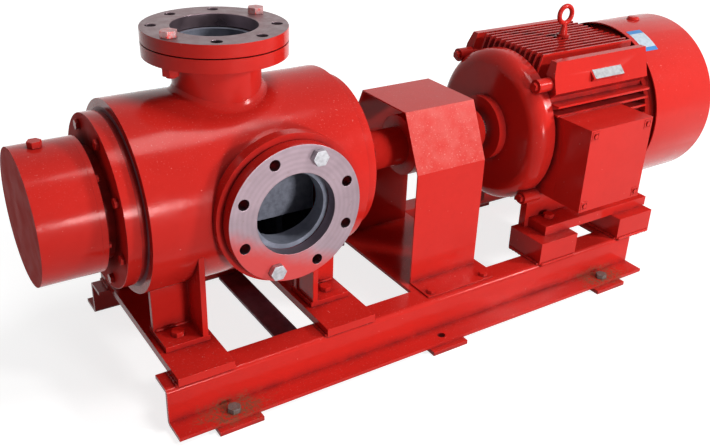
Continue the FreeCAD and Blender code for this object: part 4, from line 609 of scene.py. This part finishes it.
def red_enamel(palette, name="red_enamel", specular=0.14, dull=0.0, casing=False, dusty=False):
    """Glossy enamel over castings and plates, with dust above, and painted shade mixed with dirt in
    corners.

    dull adds roughness, casing paints the inside with primer, and dusty lays a film of dust.
    """
    finish = Finish(name, specular=specular)
    finish.shader.inputs["Specular Tint"].default_value = (*palette.sheen, 1.0)
    base = tuple(palette.enamel)
    patches = finish.band(finish.noise(3.0, 3), 0.38, 0.66)
    paint = finish.blend(patches, base, tone(base, 0.90))
    mottle = finish.band(finish.noise(55, 5, 0.6), 0.42, 0.78, 0.0, 0.18)
    paint = finish.blend(mottle, paint, tone(base, 0.72))
    # Painted shade: corners and creases are darkened by the occlusion mask, which noise breaks into
    # patches of dirt.
    patchy = finish.band(finish.noise(18, 5, 0.65), 0.25, 0.7, 0.35, 0.9)
    shade_and_grime = finish.math("MULTIPLY", finish.crevice(0.03), patchy)
    paint = finish.blend(shade_and_grime, paint, tuple(palette.shade_and_grime))
    up = finish.normal_axes()["Z"]
    grains = finish.band(finish.noise(320, 2), 0.62, 0.76, 0.0, 0.22)
    dust = finish.math("MULTIPLY", finish.band(up, 0.25, 0.75), grains)
    paint = finish.blend(dust, paint, tuple(palette.dust))
    if dusty:
        film = finish.band(finish.noise(30, 4, 0.6), 0.3, 0.7, 0.06, 0.20)
        film = finish.math("ADD", film, finish.band(finish.noise(260, 2, 0.6), 0.60, 0.72, 0.0, 0.4))
        paint = finish.blend(film, paint, tuple(palette.dust))
    flecks = finish.band(finish.noise(150, 2, 0.4), 0.745, 0.80, 0.0, 0.45)
    paint = finish.blend(flecks, paint, tuple(palette.dust))
    stain = rust_stain(finish)
    paint = finish.blend(stain, paint, tuple(palette.rust))
    gloss = finish.band(finish.noise(24, 4), 0.3, 0.7, 0.12 + dull, 0.22 + dull)
    gloss = finish.math("ADD", gloss, finish.math("MULTIPLY", shade_and_grime, 0.25))
    gloss = finish.math("ADD", gloss, finish.math("MULTIPLY", stain, 0.4))
    if casing:
        inside = casing_inside(finish)
        cloud = finish.band(finish.noise(26, 5, 0.62), 0.3, 0.72)
        primer = finish.blend(cloud, tuple(palette.primer), tone(palette.primer, 0.6))
        paint = finish.blend(inside, paint, primer)
        gloss = finish.math("ADD", gloss, finish.math("MULTIPLY", inside, 0.35))
    finish.colour(paint)
    finish.roughness(gloss)
    finish.bumps(
        (finish.noise(210, 2, 0.5), 0.20, 0.0004),
        (finish.noise(26, 3, 0.5), 0.20, 0.0016),
    )
    return finish.material


def machined(name, palette, centre, axes, tint, overspray=None):
    """Turned steel with rings about a flange's axis.

    overspray lets enamel run over one edge: how steeply the edge rises along both axes,
    where it lies, and how soft it is.
    """
    finish = Finish(name, metallic=0.7)
    radius, offsets = from_axis(finish, centre, axes)
    rings = finish.math("SINE", finish.math("MULTIPLY", radius, 4200.0))
    coarse = finish.math("SINE", finish.math("MULTIPLY", radius, 610.0))
    base = finish.blend(finish.band(finish.noise(14, 4, 0.6), 0.35, 0.7), tint, tone(tint, 0.84))
    base = finish.blend(finish.band(coarse, -1, 1, 0.0, 0.22), base, tone(tint, 0.62))
    film = finish.band(finish.noise(60, 5, 0.7), 0.56, 0.74, 0.0, 0.25)
    base = finish.blend(film, base, tuple(palette.rust))
    if overspray:
        lift, side, middle, soft = overspray
        rise = finish.math("MULTIPLY", offsets[1], lift)
        slope = finish.math("ADD", rise, finish.math("MULTIPLY", offsets[0], side))
        wander = finish.math("MULTIPLY", finish.math("SUBTRACT", finish.noise(22, 5, 0.65), 0.5), 0.05)
        spray = finish.band(finish.math("ADD", slope, wander), middle - soft, middle + soft, 0.9, 0.0)
        base = finish.blend(spray, base, tuple(palette.enamel))
        finish.wire(finish.band(spray, 0.1, 0.9, 0.7, 0.0), finish.shader.inputs["Metallic"])
    finish.colour(base)
    finish.roughness(finish.band(finish.noise(48, 4), 0.3, 0.7, 0.32, 0.46))
    finish.bumps((rings, 0.10, 0.0002), (finish.noise(300, 3), 0.08, 0.0003))
    return finish.material


def metal(name, tint, low, high, spots=None, scale=60.0, dents=0.15, metallic=0.9):
    """Cloudy bare metal, its roughness between low and high, with spots of another colour."""
    finish = Finish(name, metallic=metallic)
    cloud = finish.band(finish.noise(scale, 5, 0.6), 0.3, 0.72)
    base = finish.blend(cloud, tint, tone(tint, 0.66))
    if spots:
        mask = finish.band(finish.noise(scale * 2.3, 6, 0.7), 0.5, 0.64, 0.0, 0.85)
        base = finish.blend(mask, base, spots)
    finish.colour(base)
    finish.roughness(finish.band(finish.noise(scale * 1.7, 4), 0.3, 0.7, low, high))
    finish.bumps((finish.noise(scale * 5, 3, 0.6), dents, 0.0004))
    return finish.material


def matt(name, tint, dark, low=0.5, high=0.75, scale=40.0, dents=0.25, depth=0.0006):
    """Dull material between two colours, its roughness between low and high."""
    finish = Finish(name, specular=0.4)
    cloud = finish.band(finish.noise(scale, 6, 0.62), 0.32, 0.7)
    base = finish.blend(cloud, tint, dark)
    dust = finish.band(finish.noise(scale * 7, 3, 0.6), 0.62, 0.76, 0.0, 0.3)
    base = finish.blend(dust, base, tuple(min(1.0, channel * 1.6 + 0.05) for channel in tint))
    finish.colour(base)
    finish.roughness(finish.band(finish.noise(scale * 2, 4), 0.3, 0.7, low, high))
    finish.bumps((finish.noise(scale * 4, 5, 0.6), dents, depth))
    return finish.material


def sticker_paper(palette):
    """Blank pale sticker, blue at both ends."""
    finish = Finish("sticker_paper", roughness=0.45, specular=0.35)
    along = finish.math("MULTIPLY", finish.axes()["Y"], -1.0)
    cloud = finish.band(finish.noise(120, 4, 0.6), 0.35, 0.7)
    white = finish.blend(cloud, tuple(palette.paper), tone(palette.paper, 0.82))
    ends = finish.math(
        "MAXIMUM",
        finish.band(along, STICKER_BLUE_TOP, STICKER_BLUE_TOP + 0.001, 1.0, 0.0),
        finish.band(along, STICKER_BLUE_LOW, STICKER_BLUE_LOW + 0.001),
    )
    finish.colour(finish.blend(ends, white, tuple(palette.paper_blue)))
    finish.roughness(finish.band(cloud, 0.0, 1.0, 0.4, 0.55))
    finish.bumps((finish.noise(400, 3), 0.1, 0.0001))
    return finish.material


def make_finishes(palette):
    """Every finish of the set, by a short name."""
    steel = tuple(palette.steel)
    bar = tuple(palette.bare_bar)
    FINISHES["enamel"] = red_enamel(palette)
    FINISHES["casing"] = red_enamel(palette, "casing_enamel", casing=True)
    FINISHES["dusty_enamel"] = red_enamel(palette, "dusty_enamel", dull=0.12, dusty=True)
    FINISHES["dull_enamel"] = red_enamel(palette, "dull_enamel", specular=0.02, dull=0.35)
    FINISHES["suction_face"] = machined(
        "suction_flange_face", palette, SUCTION, "XZ", steel, (1.0, 0.45, -0.085, 0.035)
    )
    # Painted shade: the discharge face takes a darker, browner steel than the suction face. The
    # darkness stands in for the darker surroundings that a face looking up reflects.
    FINISHES["discharge_face"] = machined(
        "discharge_flange_face", palette, DISCHARGE, "XY", tuple(palette.shaded_steel)
    )
    FINISHES["bore_steel"] = metal("bored_steel", tone(steel, 0.8), 0.25, 0.42, scale=9.0)
    FINISHES["zinc"] = metal("zinc_plate", (0.52, 0.51, 0.54), 0.28, 0.42, scale=120.0)
    FINISHES["tinted_zinc"] = metal(
        "oversprayed_zinc", (0.55, 0.30, 0.30), 0.32, 0.5, tuple(palette.enamel), 60.0, metallic=0.5
    )
    FINISHES["plate"] = metal(
        "plate_aluminium", (0.42, 0.43, 0.44), 0.42, 0.6, scale=90.0, metallic=0.35
    )
    FINISHES["paper"] = sticker_paper(palette)
    FINISHES["rust"] = metal(
        "rusty_steel", (0.20, 0.17, 0.16), 0.5, 0.75, tuple(palette.rust), 110.0, 0.5, 0.55
    )
    # Painted light: the bare bar's purple-brown is made lighter than its own colour, standing in for
    # light that the casing keeps off it.
    FINISHES["bar"] = matt("bare_bar", bar, tone(bar, 0.5), 0.38, 0.6, 18.0, 0.3)
    FINISHES["cast"] = matt("cast_steel", (0.24, 0.25, 0.31), (0.15, 0.155, 0.20), scale=60.0)
    FINISHES["ground"] = metal("ground_steel", (0.62, 0.62, 0.64), 0.18, 0.32, scale=90.0)
    FINISHES["seal"] = metal("seal_face", (0.42, 0.44, 0.48), 0.12, 0.25, scale=150.0, metallic=0.6)
    FINISHES["core"] = metal("core_sheets", (0.30, 0.31, 0.34), 0.4, 0.6, scale=200.0, metallic=0.7)
    FINISHES["copper"] = metal("copper_wire", (0.66, 0.24, 0.09), 0.25, 0.42, scale=140.0)
    FINISHES["fan"] = matt("fan_plastic", (0.035, 0.035, 0.038), (0.015, 0.015, 0.017), 0.35, 0.5, 50.0)
    FINISHES["gasket"] = matt("gasket_sheet", (0.05, 0.045, 0.05), (0.02, 0.02, 0.022), 0.6, 0.8, 90.0)
    FINISHES["plastic"] = matt("grey_plastic", (0.16, 0.16, 0.17), (0.09, 0.09, 0.10), 0.4, 0.6, 70.0)


SLOT_FINISH = {
    "red_enamel": "enamel",
    "machined_face": "bore_steel",
    "plated_bolt": "zinc",
    "bare_bar": "bar",
    "rusty_bolt": "rust",
    "cast_steel": "cast",
    "ground_steel": "ground",
    "seal_face": "seal",
    "core_sheets": "core",
    "copper_wire": "copper",
    "fan_plastic": "fan",
    "gasket_sheet": "gasket",
    "grey_plastic": "plastic",
}


def dress_nodes():
    """Puts the finishes on the CAD nodes that stay."""
    slots = {part["node"]: part["material_slot"] for part in frame["record"]["subparts"]}
    for node, item in NODES.items():
        finish = FINISHES[SLOT_FINISH[slots[node]]]
        for place in item.material_slots:
            place.material = finish
        if not item.material_slots:
            item.data.materials.append(finish)


# Settings

class PumpSetColours(bpy.types.PropertyGroup):
    enamel: bpy.props.FloatVectorProperty(
        name="Enamel", description="Red enamel of the whole set", subtype="COLOR",
        min=0, max=1, default=(0.62, 0.021, 0.015))
    # Painted shade with dirt: the dark colour laid into corners and creases.
    shade_and_grime: bpy.props.FloatVectorProperty(
        name="Shade and grime", description="Painted shade and dirt held in corners", subtype="COLOR",
        min=0, max=1, default=(0.10, 0.010, 0.012))
    sheen: bpy.props.FloatVectorProperty(
        name="Sheen", description="Tint of the reflections in the enamel", subtype="COLOR",
        min=0, max=1, default=(1.0, 0.70, 0.68))
    paper: bpy.props.FloatVectorProperty(
        name="Sticker", description="Blank sticker on the fan cover", subtype="COLOR",
        min=0, max=1, default=(0.52, 0.60, 0.68))
    paper_blue: bpy.props.FloatVectorProperty(
        name="Sticker ends", description="Ends of the blank sticker", subtype="COLOR",
        min=0, max=1, default=(0.05, 0.22, 0.52))
    dust: bpy.props.FloatVectorProperty(
        name="Dust", description="Pale dust on faces that look up", subtype="COLOR",
        min=0, max=1, default=(0.74, 0.32, 0.28))
    rust: bpy.props.FloatVectorProperty(
        name="Rust", description="Rust round the foundation bolts", subtype="COLOR",
        min=0, max=1, default=(0.16, 0.085, 0.045))
    steel: bpy.props.FloatVectorProperty(
        name="Turned steel", description="Face of the suction flange", subtype="COLOR",
        min=0, max=1, default=(0.34, 0.25, 0.285))
    # Painted shade: darker than the turned steel of the suction face, for the darker surroundings that
    # this upward face reflects.
    shaded_steel: bpy.props.FloatVectorProperty(
        name="Shaded steel", description="Face of the discharge flange", subtype="COLOR",
        min=0, max=1, default=(0.22, 0.13, 0.14))
    primer: bpy.props.FloatVectorProperty(
        name="Primer", description="Inside of the casing", subtype="COLOR",
        min=0, max=1, default=(0.27, 0.29, 0.36))
    # Painted light: the bars keep their purple-brown tone but are made lighter than bare steel, to
    # stand in for light that the casing above keeps off them.
    bare_bar: bpy.props.FloatVectorProperty(
        name="Bare bar", description="Unpainted cross bars", subtype="COLOR",
        min=0, max=1, default=(0.30, 0.12, 0.17))


class PumpSetSizes(bpy.types.PropertyGroup):
    plate_edge: bpy.props.FloatProperty(
        name="Plate edge", description="Rounding of plate edges under paint",
        default=0.0011, unit="LENGTH")
    cast_edge: bpy.props.FloatProperty(
        name="Cast edge", description="Rounding of cast and turned edges",
        default=0.0035, unit="LENGTH")
    bolt_edge: bpy.props.FloatProperty(
        name="Bolt edge", description="Rounding of bolt heads",
        default=0.0008, unit="LENGTH")
    weld: bpy.props.FloatProperty(
        name="Weld", description="Radius of a weld bead", default=0.0042, unit="LENGTH")
    suction_fillet: bpy.props.FloatProperty(
        name="Suction fillet", description="Fillet round the suction neck",
        default=0.045, unit="LENGTH")
    discharge_fillet: bpy.props.FloatProperty(
        name="Discharge fillet", description="Fillet round the discharge neck",
        default=0.014, unit="LENGTH")


def colours():
    return bpy.context.scene.pump_set_colours


def sizes():
    return bpy.context.scene.pump_set_sizes


# Operators

class PUMPSET_OT_finishes(bpy.types.Operator):
    """Makes the finishes and puts them on the CAD nodes"""

    bl_idname = "pumpset.finishes"
    bl_label = "Finishes"

    def execute(self, context):
        make_finishes(colours())
        dress_nodes()
        return {"FINISHED"}


class PUMPSET_OT_base(bpy.types.Operator):
    """Rounds the plates of the base and paints them, the low cross bar bare"""

    bl_idname = "pumpset.base"
    bl_label = "Base"

    def execute(self, context):
        edge = sizes().plate_edge
        for node in ("front_rail", "rear_rail", "foundation_plates", "pump_pads", "motor_supports"):
            piece = from_node(node, "painted_" + node, edge)
            finish_piece(piece, "enamel", replaced=[node])
        bars = from_node("cross_plates", "cross_bars_and_tray", edge)
        paint_faces(bars, ("bar", "enamel"), lambda face: int(face.center.z > BARE_BELOW))
        finish_piece(bars, replaced=["cross_plates"])
        return {"FINISHED"}


class PUMPSET_OT_casing(bpy.types.Operator):
    """Rounds the casing and lays the cast fillets round its necks"""

    bl_idname = "pumpset.casing"
    bl_label = "Casing"

    def execute(self, context):
        casing = from_node("pump_casing", "cast_casing", 0.0025, 3)
        finish_piece(casing, "casing", replaced=["pump_casing"])
        suction = neck_skirt(
            "suction_fillet", (SUCTION.x, -0.3, SUCTION.z), (0, -1, 0),
            SUCTION_NECK, sizes().suction_fillet, SUCTION_FLANGE_BACK,
        )
        finish_piece(suction, "enamel")
        discharge = neck_skirt(
            "discharge_fillet", (DISCHARGE.x, DISCHARGE.y, 0.7), (0, 0, 1),
            DISCHARGE_NECK, sizes().discharge_fillet, DISCHARGE_FLANGE_BACK,
        )
        finish_piece(discharge, "enamel")
        return {"FINISHED"}


class PUMPSET_OT_covers(bpy.types.Operator):
    """Rounds the end covers, the bearing housings and the gear cover"""

    bl_idname = "pumpset.covers"
    bl_label = "Covers and housings"

    def execute(self, context):
        edge = sizes().cast_edge
        for node, width in (
            ("gear_end_cover", edge * 1.4),
            ("drive_end_cover", edge),
            ("gear_end_bearing_housing", edge * 0.5),
            ("gear_cover", edge * 0.7),
            ("drive_end_bearing_housing", edge * 0.7),
            ("drive_bearing_cap", edge * 0.6),
        ):
            piece = from_node(node, "painted_" + node, width, 3)
            paint_faces(piece, ("enamel", "dull_enamel"), lambda face: int(abs(face.normal.x) > 0.99))
            finish_piece(piece, replaced=[node])
        return {"FINISHED"}


def flange_part(mesh, centre, axes):
    """Tells a flange's faces apart: 0 for the flat ones, 1 for the rim, 2 for the bores."""

    def part(face):
        spot = mesh.vertices[face.vertices[0]].co
        radius = hypot(*(getattr(spot, axis) - getattr(centre, axis) for axis in axes))
        if hypot(*(getattr(face.normal, axis) for axis in axes)) < 0.5:
            return 0
        return 1 if radius > FLANGE_RADIUS - 0.003 else 2

    return part


class PUMPSET_OT_flanges(bpy.types.Operator):
    """Gives the companion flanges turned faces, painted rims and bare bores"""

    bl_idname = "pumpset.flanges"
    bl_label = "Companion flanges"

    def execute(self, context):
        for node, centre, axes, finish in (
            ("suction_companion_flange", SUCTION, "xz", "suction_face"),
            ("discharge_companion_flange", DISCHARGE, "xy", "discharge_face"),
        ):
            piece = from_node(node, "turned_" + node, 0.0012, 2)
            part = flange_part(piece.data, centre, axes)
            paint_faces(piece, (finish, "enamel", "bore_steel"), part)
            finish_piece(piece, replaced=[node])
        return {"FINISHED"}


def flange_bolt_finish(face):
    """Bolts through the suction flange are plated, those on top are tinted, nuts below painted."""
    height = face.center.z - DISCHARGE.z
    return 2 if height > -0.012 else 1 if height > -0.1 else 0


class PUMPSET_OT_bolts(bpy.types.Operator):
    """Rounds every bolt head, painted or plated"""

    bl_idname = "pumpset.bolts"
    bl_label = "Bolts"

    def execute(self, context):
        edge = sizes().bolt_edge
        for node, finish, slot in (
            ("foundation_bolts", "rust", "rusty_bolt"),
            ("pump_foot_bolts", "enamel", "red_enamel"),
            ("cover_bolts", "enamel", "red_enamel"),
            ("housing_bolts", "enamel", "red_enamel"),
            ("filler_plug", "enamel", "red_enamel"),
            ("flange_bolts", None, "plated_bolt"),
            ("guard_bolts", "enamel", "red_enamel"),
            ("motor_foot_bolts", "enamel", "red_enamel"),
            ("shield_bolts", "enamel", "red_enamel"),
            ("lid_screws", "enamel", "red_enamel"),
        ):
            piece = from_node(node, "dressed_" + node, edge)
            if finish is None:
                paint_faces(piece, ("zinc", "enamel", "tinted_zinc"), flange_bolt_finish)
            finish_piece(piece, finish, replaced=[node])
        return {"FINISHED"}


class PUMPSET_OT_feet(bpy.types.Operator):
    """Rounds the plates of the pump's feet"""

    bl_idname = "pumpset.feet"
    bl_label = "Pump feet"

    def execute(self, context):
        piece = from_node("pump_feet", "welded_feet", sizes().plate_edge)
        finish_piece(piece, "enamel", replaced=["pump_feet"])
        return {"FINISHED"}


def is_slanted(face):
    """1 for the guard's two slanted panels, 0 for the rest."""
    return int(face.normal.z > 0.2 and abs(face.normal.y) > 0.3)


class PUMPSET_OT_guard(bpy.types.Operator):
    """Rounds the folded sheet of the coupling guard, dusty on its slanted panels"""

    bl_idname = "pumpset.guard"
    bl_label = "Coupling guard"

    def execute(self, context):
        piece = from_node("coupling_guard", "folded_guard", 0.0012, 2, angle=15)
        paint_faces(piece, ("enamel", "dusty_enamel"), is_slanted)
        finish_piece(piece, replaced=["coupling_guard"])
        return {"FINISHED"}


class PUMPSET_OT_motor(bpy.types.Operator):
    """Rounds the motor's castings and its fan cover"""

    bl_idname = "pumpset.motor"
    bl_label = "Motor"

    def execute(self, context):
        edge = sizes().cast_edge
        for node, width in (
            ("motor_frame", 0.0012),
            ("drive_end_shield", edge),
            ("fan_end_shield", edge * 0.5),
            ("fan_cover", 0.001),
            ("terminal_box", edge * 0.5),
            ("terminal_lid", 0.0016),
            ("eyebolt", 0.001),
        ):
            piece = from_node(node, "painted_" + node, width)
            finish_piece(piece, "enamel", replaced=[node])
        return {"FINISHED"}


class PUMPSET_OT_plates(bpy.types.Operator):
    """Adds the bare nameplate, the blank sticker, the fan cover's ring and boss and the lid's lugs"""

    bl_idname = "pumpset.plates"
    bl_label = "Plates and lugs"

    def execute(self, context):
        finish_piece(nameplate(), "plate")
        finish_piece(sticker(), "paper")
        for piece in (fan_end_shoulder(), cover_boss(), *lid_lugs()):
            finish_piece(piece, "enamel")
        return {"FINISHED"}


class PUMPSET_OT_welds(bpy.types.Operator):
    """Lays the welds of the base, the pads and the feet"""

    bl_idname = "pumpset.welds"
    bl_label = "Welds"

    def execute(self, context):
        radius = sizes().weld
        for group, runs in WELDS.items():
            beads = [weld_bead(start, end, radius) for start, end in runs]
            finish_piece(joined(group, beads), "enamel")
        return {"FINISHED"}


class PUMPSET_OT_coupling(bpy.types.Operator):
    """Rounds the two halves of the coupling, each on its own rotor"""

    bl_idname = "pumpset.coupling"
    bl_label = "Coupling"

    def execute(self, context):
        for node, body in (
            ("pump_coupling_half", "drive_rotor"),
            ("motor_coupling_half", "motor_rotor"),
        ):
            piece = from_node(node, "painted_" + node, 0.0015)
            finish_piece(piece, "enamel", body, replaced=[node])
        return {"FINISHED"}


class PUMPSET_OT_stage(bpy.types.Operator):
    """Sets the floor, the lamps, the sky and the camera"""

    bl_idname = "pumpset.stage"
    bl_label = "Stage"

    def execute(self, context):
        lay_floor()
        light_sky()
        hang_lamps()
        place_camera()
        return {"FINISHED"}


# Stage

AMBIENT = 0.09
FLOOR_TONE = 0.45
FLOOR_GLOW = (0.80, 1.0)
FLOOR_GLOW_REACH = (0.7, 2.2)
LAMP_TARGET = Vector((0.0, -0.1, 0.35))
CAMERA_PLACE = (-1.0487, -1.472, 1.121)
CAMERA_ANGLES = (0.5857, 0.4797, -0.0359)
CAMERA_LENS = 43.58


def seen_directly(tree):
    """1 where the camera, a reflection or glass looks, 0 for light."""
    path = tree.nodes.new("ShaderNodeLightPath")
    total = path.outputs["Is Camera Ray"]
    for name in ("Is Glossy Ray", "Is Transmission Ray"):
        node = tree.nodes.new("ShaderNodeMath")
        node.operation = "MAXIMUM"
        tree.links.new(total, node.inputs[0])
        tree.links.new(path.outputs[name], node.inputs[1])
        total = node.outputs[0]
    return total


def lay_floor():
    """A grey floor that catches shadows and glows white to the eye, most of all far out."""
    pick()
    bpy.ops.mesh.primitive_plane_add(size=24, location=(0, 0, -0.0005))
    floor = bpy.context.object
    floor.name = "studio_floor"
    material = bpy.data.materials.new("studio_floor")
    material.use_nodes = True
    tree = material.node_tree
    shader = tree.nodes["Principled BSDF"]
    shader.inputs["Base Color"].default_value = (FLOOR_TONE, FLOOR_TONE, FLOOR_TONE, 1)
    shader.inputs["Roughness"].default_value = 0.9
    shader.inputs["Specular IOR Level"].default_value = 0.1
    shader.inputs["Emission Color"].default_value = (1, 1, 1, 1)
    place = tree.nodes.new("ShaderNodeTexCoord")
    distance = tree.nodes.new("ShaderNodeVectorMath")
    distance.operation = "LENGTH"
    tree.links.new(place.outputs["Object"], distance.inputs[0])
    glow = tree.nodes.new("ShaderNodeMapRange")
    glow.inputs["From Min"].default_value, glow.inputs["From Max"].default_value = FLOOR_GLOW_REACH
    glow.inputs["To Min"].default_value, glow.inputs["To Max"].default_value = FLOOR_GLOW
    tree.links.new(distance.outputs["Value"], glow.inputs["Value"])
    strength = tree.nodes.new("ShaderNodeMath")
    strength.operation = "MULTIPLY"
    tree.links.new(glow.outputs["Result"], strength.inputs[1])
    tree.links.new(seen_directly(tree), strength.inputs[0])
    tree.links.new(strength.outputs[0], shader.inputs["Emission Strength"])
    floor.data.materials.append(material)


def light_sky():
    """A white sky to the eye that lights the object only a little."""
    world = bpy.data.worlds.new("studio_sky")
    world.use_nodes = True
    bpy.context.scene.world = world
    tree = world.node_tree
    sky = tree.nodes["Background"]
    sky.inputs["Color"].default_value = (1, 1, 1, 1)
    level = tree.nodes.new("ShaderNodeMapRange")
    level.inputs["To Min"].default_value = AMBIENT
    level.inputs["To Max"].default_value = 1.0
    tree.links.new(seen_directly(tree), level.inputs["Value"])
    tree.links.new(level.outputs["Result"], sky.inputs["Strength"])


def hang_lamp(name, direction, distance, width, height, power):
    """A rectangular lamp that looks at the middle of the set."""
    data = bpy.data.lights.new(name, "AREA")
    data.shape = "RECTANGLE"
    data.size, data.size_y = width, height
    data.energy = power
    lamp = bpy.data.objects.new(name, data)
    bpy.context.scene.collection.objects.link(lamp)
    direction = Vector(direction).normalized()
    lamp.location = LAMP_TARGET + direction * distance
    lamp.rotation_mode = "QUATERNION"
    lamp.rotation_quaternion = (-direction).to_track_quat("-Z", "Y")


def hang_lamps():
    """Name, direction, distance, width, height in metres and power in watts of each lamp."""
    hang_lamp("key_lamp", (0.66, -0.60, 0.45), 4.0, 0.5, 0.5, 84)
    hang_lamp("front_lamp", (0.04, -0.99, 0.08), 3.0, 0.5, 0.42, 48)
    hang_lamp("top_lamp", (0.2, -0.2, 1.0), 4.0, 1.2, 1.2, 62)


def place_camera():
    """The camera of the photograph, and the plain view transform."""
    azimuth, elevation, roll = CAMERA_ANGLES
    forward = Vector((sin(azimuth) * cos(elevation), cos(azimuth) * cos(elevation), -sin(elevation)))
    right = Vector((cos(azimuth), -sin(azimuth), 0.0))
    down = forward.cross(right)
    level = right * cos(roll) + down * sin(roll)
    below = down * cos(roll) - right * sin(roll)
    camera = bpy.data.objects.new("studio_camera", bpy.data.cameras.new("studio_camera"))
    bpy.context.scene.collection.objects.link(camera)
    camera.data.sensor_width = 36.0
    camera.data.lens = CAMERA_LENS
    camera.data.clip_end = 60.0
    turn = Matrix((level, -below, -forward)).transposed()
    camera.matrix_world = Matrix.Translation(CAMERA_PLACE) @ turn.to_4x4()
    bpy.context.scene.camera = camera
    bpy.context.scene.view_settings.view_transform = "Standard"


# Panel

STEPS = (
    PUMPSET_OT_finishes,
    PUMPSET_OT_base,
    PUMPSET_OT_casing,
    PUMPSET_OT_covers,
    PUMPSET_OT_flanges,
    PUMPSET_OT_bolts,
    PUMPSET_OT_feet,
    PUMPSET_OT_guard,
    PUMPSET_OT_motor,
    PUMPSET_OT_plates,
    PUMPSET_OT_welds,
    PUMPSET_OT_coupling,
    PUMPSET_OT_stage,
)


class PUMPSET_PT_panel(bpy.types.Panel):
    """Colours, sizes and one button for each step"""

    bl_label = "Pump Set"
    bl_idname = "PUMPSET_PT_panel"
    bl_space_type = "VIEW_3D"
    bl_region_type = "UI"
    bl_category = "Pump Set"

    def draw(self, context):
        for group in (context.scene.pump_set_colours, context.scene.pump_set_sizes):
            for name in group.bl_rna.properties.keys():
                if name not in ("rna_type", "name"):
                    self.layout.prop(group, name)
        for step in STEPS:
            self.layout.operator(step.bl_idname)


CLASSES = (PumpSetColours, PumpSetSizes, *STEPS, PUMPSET_PT_panel)


def register():
    for cls in CLASSES:
        bpy.utils.register_class(cls)
    bpy.types.Scene.pump_set_colours = bpy.props.PointerProperty(type=PumpSetColours)
    bpy.types.Scene.pump_set_sizes = bpy.props.PointerProperty(type=PumpSetSizes)


def unregister():
    del bpy.types.Scene.pump_set_sizes
    del bpy.types.Scene.pump_set_colours
    for cls in reversed(CLASSES):
        bpy.utils.unregister_class(cls)


def main():
    register()
    for step in STEPS:
        operator = getattr(bpy.ops.pumpset, step.bl_idname.split(".")[1])
        operator()


if __name__ == "__main__":
    main()
